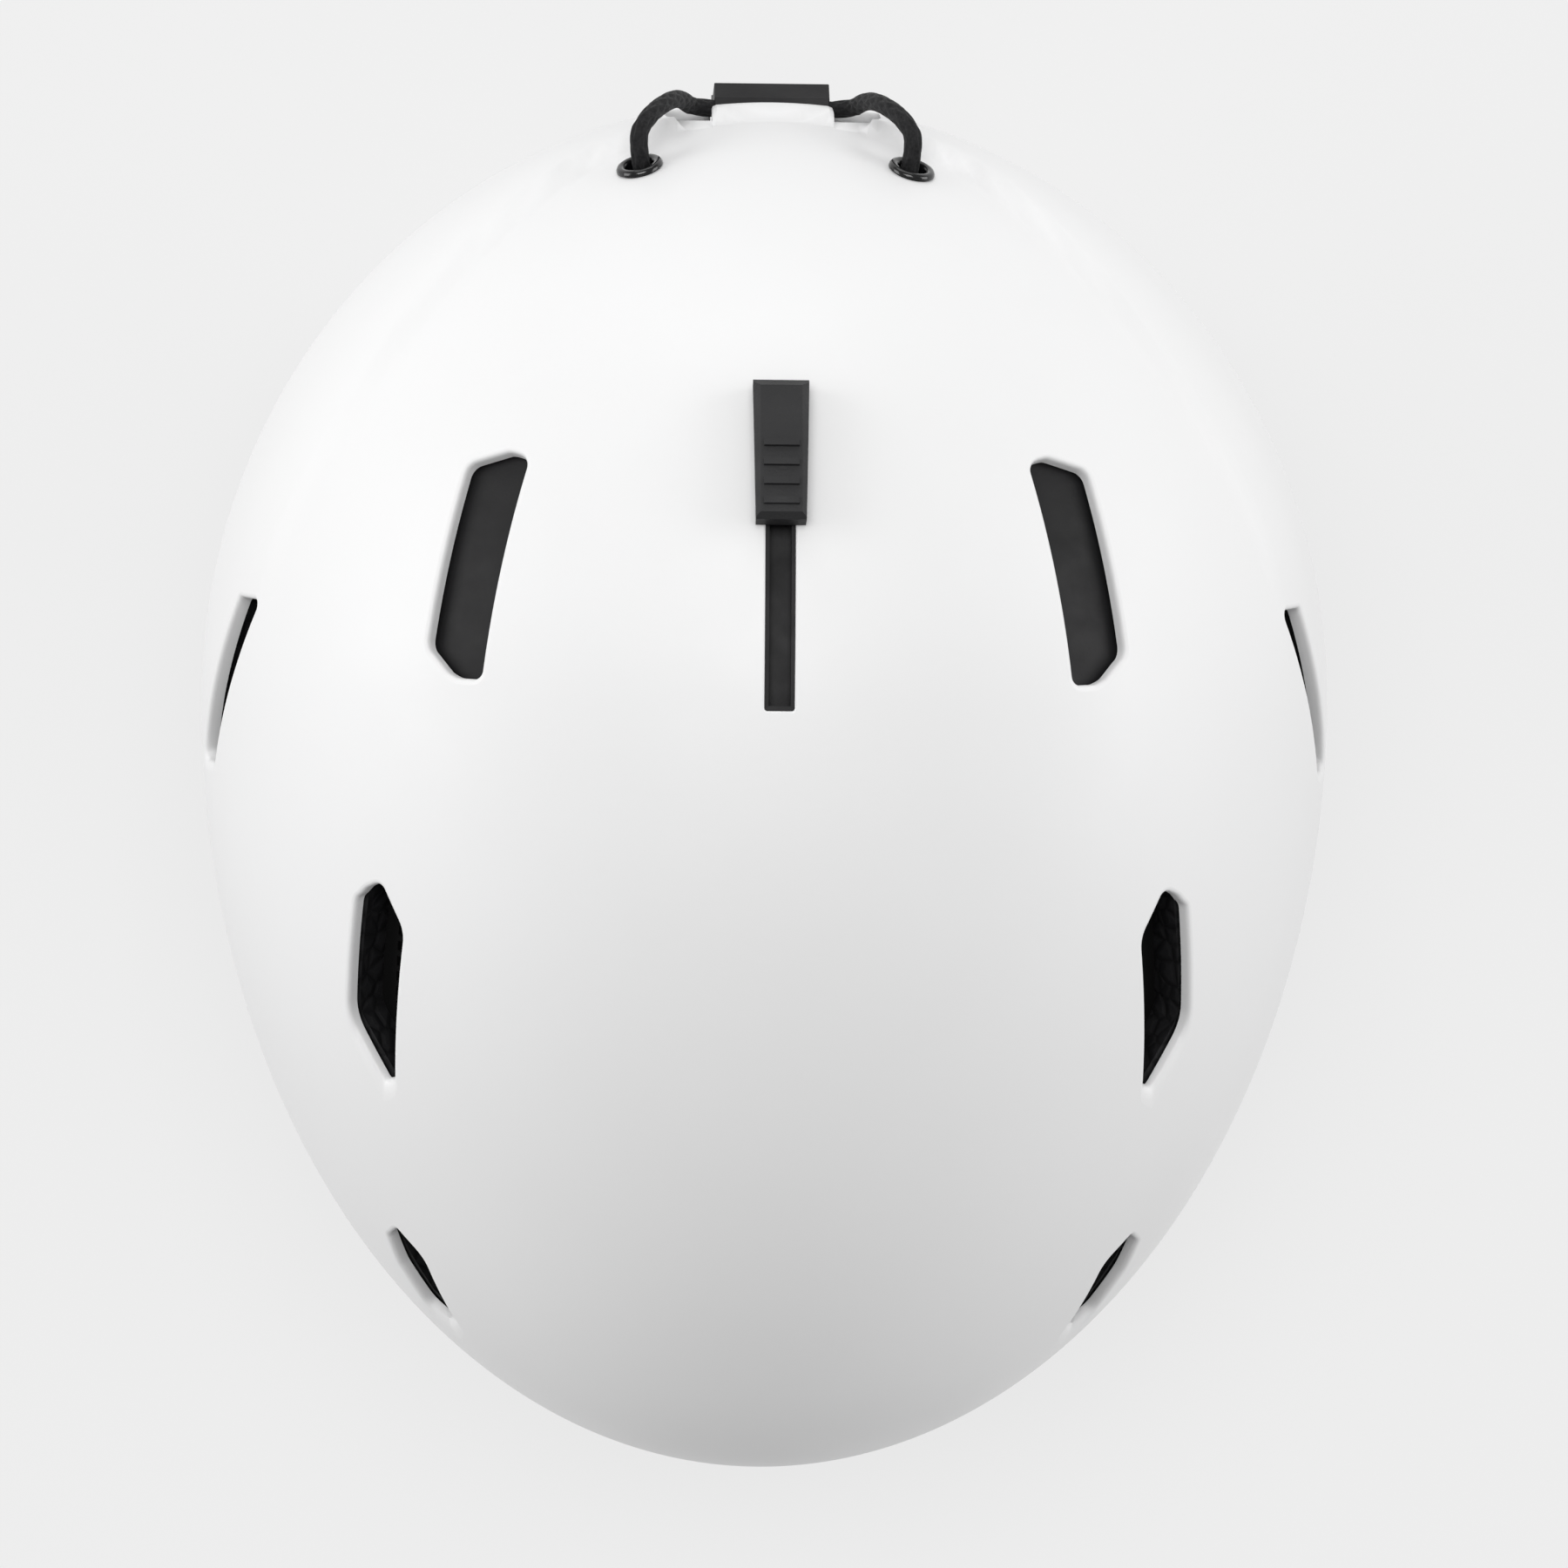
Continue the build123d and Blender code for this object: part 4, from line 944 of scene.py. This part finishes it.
side_corners = mm((-51.5, 66.5), (29.5, 66.5), (29.5, 111), (-51.5, 111))
side_seams = [mm((-24, 67), (-24, 111)), mm((3, 67), (3, 111))]
add_pad("side_pads_fabric", [comfort_pad(side_corners, 0.009, at_side(side), side_seams) for side in (1, -1)],
        LINING, "side_pads")

rear_left = arc((28, 66.5), (80, 66.5), (77, 112.5), (39, 117))
rear_right = [(pi * ROUND_SCALE - u, z) for u, z in rear_left]
rear_pads = ((rear_left, [arc((54, 67), (57, 114))]), (rear_right, [arc((126, 67), (123, 114))]))
add_pad("rear_pads_fabric", [comfort_pad(corners, 0.007, at_round, seams) for corners, seams in rear_pads],
        LINING, "rear_pads")

crown_pads = []
for side in (1, -1):
    corners = mm((side * 6.4, -51.6), (side * 29.6, -51.6), (side * 29.6, 29.6), (side * 6.4, 29.6))
    seams = [mm((side * 7, -24), (side * 29, -24)), mm((side * 7, 3), (side * 29, 3))]
    crown_pads.append(comfort_pad(corners, 0.006, at_top, seams, 0.0026))
add_pad("crown_pads_fabric", crown_pads, LINING, "crown_pads")

EAR_CORNERS = mm((-47.5, 0.2), (43, 0.2), (51.6, 30), (44.6, 44.2), (-47.6, 44.2), (-51.6, 30))
EAR_ROUNDS = [0.012, 0.012, 0.010, 0.006, 0.006, 0.010]
EAR_MIDDLE = (-2.5, 24.5)
EAR_LAYER = (0.0043, 0.0178)
PIPING_RADIUS, PIPING_AROUND, PIPING_LOWEST = 0.0010, 10, 0.0013
STRAP_LAYER = (0.0188, 0.0204)
STRAPS = [mm((-38, 61), (-24, 61), (6, 21.5), (-4, 21.5)), mm((38, 61), (52, 61), (18, 21.5), (8, 21.5))]


def oval(centre, width, height, count=40):
    turns = [2 * pi * k / count for k in range(count + 1)]
    return mm(*((centre[0] + width * cos(t), centre[1] + height * sin(t)) for t in turns))


def piping(name, side):
    """The thin cord sewn around the ear pad at the middle of its thickness."""
    outline = anticlockwise(rounded(EAR_CORNERS, EAR_ROUNDS, 0.0012))
    line = [at_side(side)(p.x, max(p.y, PIPING_LOWEST), sum(EAR_LAYER) / 2) for p in outline]
    points = []
    for i, p in enumerate(line):
        along = (line[(i + 1) % len(line)] - line[i - 1]).normalized()
        out = along.cross(Vector((side, 0, 0))).normalized()
        up = along.cross(out)
        points.extend(p + spot for spot in circle(out, up, PIPING_RADIUS, PIPING_AROUND))
    return fix_normals(make_object(name, points, sleeve(len(line), PIPING_AROUND, "looped"), MATTE_BLACK, 60))


for side, hand in ((1, "left"), (-1, "right")):
    body = f"ear_pad_{hand}_body"
    ear_pad = pad_geometry(EAR_CORNERS, EAR_ROUNDS, at_side(side), EAR_LAYER, 0.0066, 0.0024,
                           [oval(EAR_MIDDLE, 24, 13.5)], 0.0016, 0.06, 0.0016)
    add_pad(f"ear_pad_{hand}_fabric", [ear_pad], EAR_KNIT, f"ear_pad_{hand}", body, "ear_fabric")
    install(piping(f"ear_piping_{hand}", side), body, "ear_fabric")
    parts = [pad_geometry(corners, 0.0008, at_side(side), STRAP_LAYER, 0.0006, 0.0022) for corners in STRAPS]
    install(sewn(f"side_strap_{hand}_webbing", parts, WEBBING), "root", "webbing", f"side_strap_{hand}")


CUSHION_COLUMNS, CUSHION_ROWS = 96, 24
CUSHION_SQUARENESS, CUSHION_SEAM = 5.0, 0.0005


def cushion(name, low, high, material, node):
    """A pillow that fills a box, with a sewn edge around its middle height and soft corners."""
    middle, size = (low + high) / 2, (high - low) / 2
    thin = min(range(3), key=lambda i: size[i])
    wide = [i for i in range(3) if i != thin]
    points = []
    for r in range(CUSHION_ROWS + 1):
        lat = pi * (r / CUSHION_ROWS - 0.5)
        level = abs(cos(lat)) ** 0.45
        pinch = 1 - 0.02 * (1 - abs(sin(lat)))
        for c in range(CUSHION_COLUMNS):
            lon = 2 * pi * c / CUSHION_COLUMNS
            p = [0.0, 0.0, 0.0]
            for axis, value in ((wide[0], cos(lon)), (wide[1], sin(lon))):
                corner = np.sign(value) * abs(value) ** (2 / CUSHION_SQUARENESS)
                p[axis] = corner * size[axis] * level * pinch
            fold = 1 - CUSHION_SEAM / size[thin] * max(0.0, 1 - abs(cos(lon * 2)) * 3)
            p[thin] = np.sign(sin(lat)) * abs(sin(lat)) ** 0.6 * size[thin] * fold
            points.append(Vector(p) + middle)
    faces = sleeve(CUSHION_ROWS + 1, CUSHION_COLUMNS)
    pad = fix_normals(make_object(name, points, faces, material, 70), 0.00002)
    install(pad, "root", "padding", node)


cushion("chin_pad_fabric", *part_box("chin_pad"), CHIN_FLEECE, "chin_pad")
cushion("nape_pad_fabric", *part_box("nape_pad"), LINING, "nape_pad")


WEB_HALF_WIDTH, WEB_THICK = 0.0095, 0.0016
WEB_Y, WEB_Z = CENTRE.y + 0.007, 0.0032
WEB_BEND_X = 0.0715


def web_section():
    """The outline across the webbing, as distances along its width and its thickness."""
    edge, half = WEB_HALF_WIDTH - WEB_THICK / 2, WEB_THICK / 2
    turns = [pi * k / 8 - pi / 2 for k in range(9)]
    right = [(edge + half * cos(t), half * sin(t)) for t in turns]
    left = [(-edge + half * cos(t + pi), half * sin(t + pi)) for t in turns]
    between = np.linspace(-edge, edge, 14)[1:-1]
    return right + [(x, half) for x in between[::-1]] + left + [(x, -half) for x in between]


def ribbon(name, path, node, blend_to=None):
    """Flat webbing along a path, with rounded edges."""
    across = Vector((0, 1, 0))
    section = web_section()
    points, uv = [], []
    run = 0.0
    for i, p in enumerate(path):
        ahead = path[min(i + 1, len(path) - 1)] - path[max(i - 1, 0)]
        normal = ahead.normalized().cross(across).normalized()
        if i:
            run += (p - path[i - 1]).length
        for w, h in section:
            points.append(p + across * w + normal * h)
            uv.append((run, w))
    faces = sleeve(len(path), len(section), "capped")
    web = fix_normals(make_object(name, points, faces, WEBBING, 60, uv))
    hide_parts(node)
    if blend_to:
        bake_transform(web)
    else:
        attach(web, "root")


def web_path(start_x, side):
    """Flat from the buckle to the bend, then up to the ear pad's frame."""
    flat = [Vector((side * x, WEB_Y, WEB_Z)) for x in np.arange(start_x, WEB_BEND_X, 0.002)]
    shares = [k / 6 for k in range(1, 7)]
    return flat + [Vector((side * (WEB_BEND_X + 0.0084 * t), WEB_Y, WEB_Z + 0.0036 * t * t + 0.0002 * t))
                   for t in shares]


ribbon("chin_web_left_webbing", web_path(0.0241, 1), "chin_web_left", "buckle_plug_body")
ribbon("chin_web_right_webbing", web_path(0.0261, -1), "chin_web_right")


# ---- cord, eyelets and slot liner

def cord_route():
    """The cord's points from inside the right eyelet, through the clip, to the left one."""
    at, normal = eyelet_frame(1)[:2]
    half = [
        at - normal * 0.012,
        at + normal * 0.0055,
        Vector((0.0248, 0.1132, 0.0405)),
        Vector((0.0206, 0.1170, 0.0310)),
        Vector((0.0180, 0.1182, 0.0200)),
        Vector((0.0156, 0.1169, 0.0090)),
    ]
    left = [p + CENTRE for p in half]
    right = [Vector((-p.x, p.y, p.z)) for p in left]
    return right + left[::-1]


def smooth_line(points, resolution=24):
    """The smooth line with those control points, as Blender's own NURBS spline gives it."""
    curve = bpy.data.curves.new("line", "CURVE")
    curve.dimensions = "3D"
    curve.resolution_u = resolution
    spline = curve.splines.new("NURBS")
    spline.points.add(len(points) - 1)
    for slot, p in zip(spline.points, points):
        slot.co = (*p, 1)
    spline.order_u = 3
    spline.use_endpoint_u = True
    holder = add_object("line", curve)
    bpy.context.view_layer.update()
    mesh = bpy.data.meshes.new_from_object(holder.evaluated_get(bpy.context.evaluated_depsgraph_get()))
    line = [v.co.copy() for v in mesh.vertices]
    bpy.data.objects.remove(holder)
    bpy.data.curves.remove(curve)
    bpy.data.meshes.remove(mesh)
    return line


def length_of(line):
    return sum((b - a).length for a, b in zip(line, line[1:]))


def even(line, step):
    """The same line with points a constant distance apart."""
    total = length_of(line)
    count = max(2, int(total / step))
    result, run, i = [line[0]], 0.0, 0
    for k in range(1, count):
        target = total * k / count
        while run + (line[i + 1] - line[i]).length < target:
            run += (line[i + 1] - line[i]).length
            i += 1
        gap = (line[i + 1] - line[i]).length
        result.append(line[i].lerp(line[i + 1], (target - run) / gap))
    result.append(line[-1])
    return result


CORD_RADIUS = 0.00178
BRAID_RELIEF, BRAID_PITCH, BRAID_STRANDS = 0.00016, 0.0075, 6
BRAID_TURN = 2 * pi / BRAID_PITCH * 1.6
BRAID_AROUND, BRAID_STEP = 56, 0.00034


def braided_tube(name, line, radius, material):
    """A tube with the crossing strands of a braid raised on it."""
    path = even(line, BRAID_STEP)
    points, run = [], 0.0
    side = (path[1] - path[0]).normalized().orthogonal().normalized()
    for i, p in enumerate(path):
        ahead = (path[min(i + 1, len(path) - 1)] - path[max(i - 1, 0)]).normalized()
        side = (side - ahead * side.dot(ahead)).normalized()
        up = ahead.cross(side)
        if i:
            run += (p - path[i - 1]).length
        for k in range(BRAID_AROUND):
            t = 2 * pi * k / BRAID_AROUND
            strand = max(cos(BRAID_STRANDS * t + BRAID_TURN * run), cos(BRAID_STRANDS * t - BRAID_TURN * run))
            height = radius - BRAID_RELIEF + BRAID_RELIEF * strand
            points.append(p + side * (height * cos(t)) + up * (height * sin(t)))
    faces = sleeve(len(path), BRAID_AROUND, "capped")
    return fix_normals(make_object(name, points, faces, material, 60))


cord_line = smooth_line(cord_route())
cord = braided_tube("goggle_cord_braid", cord_line, CORD_RADIUS, CORD_BRAID)
install(cord, "root", "cord", "goggle_cord")
CORD_LENGTH = round(length_of(cord_line), 4)
tuple(cord_line[0])
[tuple(p) for p in cord_line]

# The ring's section: distance from the hole's middle and height over the shell.
EYELET_SECTION = [
    (0.00275, -0.0045), (0.00275, 0.0004), (0.00290, 0.00085), (0.00330, 0.00118), (0.0038, 0.00125),
    (0.0043, 0.00105), (0.00458, 0.0006), (0.00462, 0.0002), (0.00440, 0.0001), (0.0037, 0.00005),
    (0.0037, -0.0045),
]
RING_POINTS = 64
for side, hand in ((1, "left"), (-1, "right")):
    at, normal, across, other = eyelet_frame(side)
    points = []
    for radius, height in EYELET_SECTION:
        middle = at + CENTRE + normal * height
        points.extend(middle + spot for spot in circle(across, other, radius, RING_POINTS))
    faces = sleeve(len(EYELET_SECTION), RING_POINTS, "looped")
    ring = fix_normals(make_object(f"eyelet_{hand}_ring", points, faces, GLOSS_BLACK, 50))
    install(ring, "root", "grommet", f"eyelet_{hand}")


LINER_GAP = 0.00003


def slot_liner():
    """The black lip inside the slider's slot."""
    shrunk = [(x - LINER_GAP if x > 0 else x + LINER_GAP, y - LINER_GAP if y > 0 else y + LINER_GAP)
              for x, y in SLOT]
    outer = anticlockwise(rounded(shrunk, SLOT_ROUND, SLOT_STEP))
    inner = [Vector((max(-0.00205, min(0.00205, p.x)), max(-0.0011, min(0.0482, p.y)))) for p in outer]
    points = []
    for ring, inset in ((outer, 0.00020), (inner, 0.00030), (inner, 0.0025), (outer, 0.0025)):
        points.extend(at_top(p.x, p.y, inset) for p in ring)
    liner = make_object("slot_liner", points, sleeve(4, len(outer), "looped"), SATIN_BLACK, 40)
    install(fix_normals(liner), "root", "shutter")


slot_liner()


# ---- finishes on the CAD nodes

FINISHES = [
    (TRIM_RUBBER, "rim_trim"),
    (MATTE_BLACK, "front_vent_mesh mid_vent_mesh side_vent_mesh"),
    (GLOSS_BLACK, "cord_stop_left cord_stop_right"),
    (SATIN_BLACK, "goggle_clip vent_shutter"),
    (STEEL, "clip_catch slider_screw"),
    (KNOB_GREY, "slider_knob"),
    (BUCKLE_PLASTIC, "strap_divider_left strap_divider_right buckle_socket buckle_plug"),
    (SOFT_RUBBER, "strap_keeper fit_dial"),
    (FIT_PLASTIC, "strap_anchors ear_frame_left ear_frame_right fit_rack_left fit_rack_right temple_pins"),
    (FIT_PLASTIC, "dial_pinion dial_housing dial_backplate fit_stem"),
    (FOAM, "eps_liner"),
]
BEVELS = [
    (0.0007, "buckle_socket"),
    (0.0006, "goggle_clip buckle_plug rim_trim"),
    (0.0005, "fit_dial dial_housing strap_keeper"),
    (0.0004, "strap_divider_left strap_divider_right"),
    (0.00035, "slider_knob"),
    (0.0003, "ear_frame_left ear_frame_right clip_catch fit_stem"),
]
BEVEL_ANGLE = radians(38)
for material, names in FINISHES:
    for node in names.split():
        obj = NODES[node]
        if not obj.material_slots:
            obj.data.materials.append(material)
        for material_slot in obj.material_slots:
            material_slot.material = material
for width, names in BEVELS:
    for node in names.split():
        weld = NODES[node].modifiers.new("weld", "WELD")
        weld.merge_threshold = 0.00001
        bevel = NODES[node].modifiers.new("edge", "BEVEL")
        bevel.width = width
        bevel.segments = 3
        bevel.limit_method = "ANGLE"
        bevel.angle_limit = BEVEL_ANGLE
        bevel.harden_normals = False

for side, hand in ((1, "left"), (-1, "right")):
    band = add_object(f"fit_band_{hand}_flex", NODES[f"fit_band_{hand}"].data.copy())
    band.data.materials.clear()
    band.data.materials.append(FIT_PLASTIC)
    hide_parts(f"fit_band_{hand}")
    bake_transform(band)

# ---- floor and light

floor_nodes = Nodes("floor_paper")
floor_nodes.colours(floor_nodes.noise(3, 2), (0.10, 0.10, 0.10), (0.105, 0.105, 0.105))
floor_nodes.rough(floor_nodes.noise(40, 2), 0.9, 0.95)
floor_nodes.bump(floor_nodes.noise(900, 2), 0.00002)
floor_nodes.set(Emission_Color=(1, 1, 1, 1), Emission_Strength=0.755, Specular_IOR_Level=0.1)
floor_corners = [(-3, -3, 0), (3, -3, 0), (3, 3, 0), (-3, 3, 0)]
floor = make_object("floor", floor_corners, [(0, 1, 2, 3)], floor_nodes.material)
floor.location.z = -0.0005

# How strongly the surroundings light the helmet, and how bright they look behind it.
SKY_LIGHT, SKY_SEEN = 0.30, 0.87
world = bpy.data.worlds.new("studio")
bpy.context.scene.world = world
world.use_nodes = True
background = world.node_tree.nodes["Background"]
background.inputs["Color"].default_value = (1, 1, 1, 1)
paths = world.node_tree.nodes.new("ShaderNodeLightPath")
strength = world.node_tree.nodes.new("ShaderNodeMapRange")
strength.inputs["To Min"].default_value = SKY_LIGHT
strength.inputs["To Max"].default_value = SKY_SEEN
world.node_tree.links.new(paths.outputs["Is Camera Ray"], strength.inputs["Value"])
world.node_tree.links.new(strength.outputs["Result"], background.inputs["Strength"])
bpy.context.scene.view_settings.view_transform = "Standard"


def softbox(name, at, target, width, height, power):
    data = bpy.data.lights.new(name, "AREA")
    data.shape = "RECTANGLE"
    data.size = width
    data.size_y = height
    data.energy = power
    lamp = add_object(name, data)
    lamp.location = at
    lamp.rotation_euler = (Vector(target) - Vector(at)).to_track_quat("-Z", "Y").to_euler()


softbox("key", (-0.15, 0.52, 2.12), (0, 0.02, 0.1), 1.3, 1.0, 22)
softbox("back", (-0.1, 1.95, 0.65), (0, 0.02, 0.1), 1.6, 0.8, 7)
softbox("left", (-1.8, 0.35, 0.7), (0, 0.02, 0.08), 1.4, 1.0, 16)
softbox("right", (1.8, 0.35, 0.7), (0, 0.02, 0.08), 1.4, 1.0, 15)
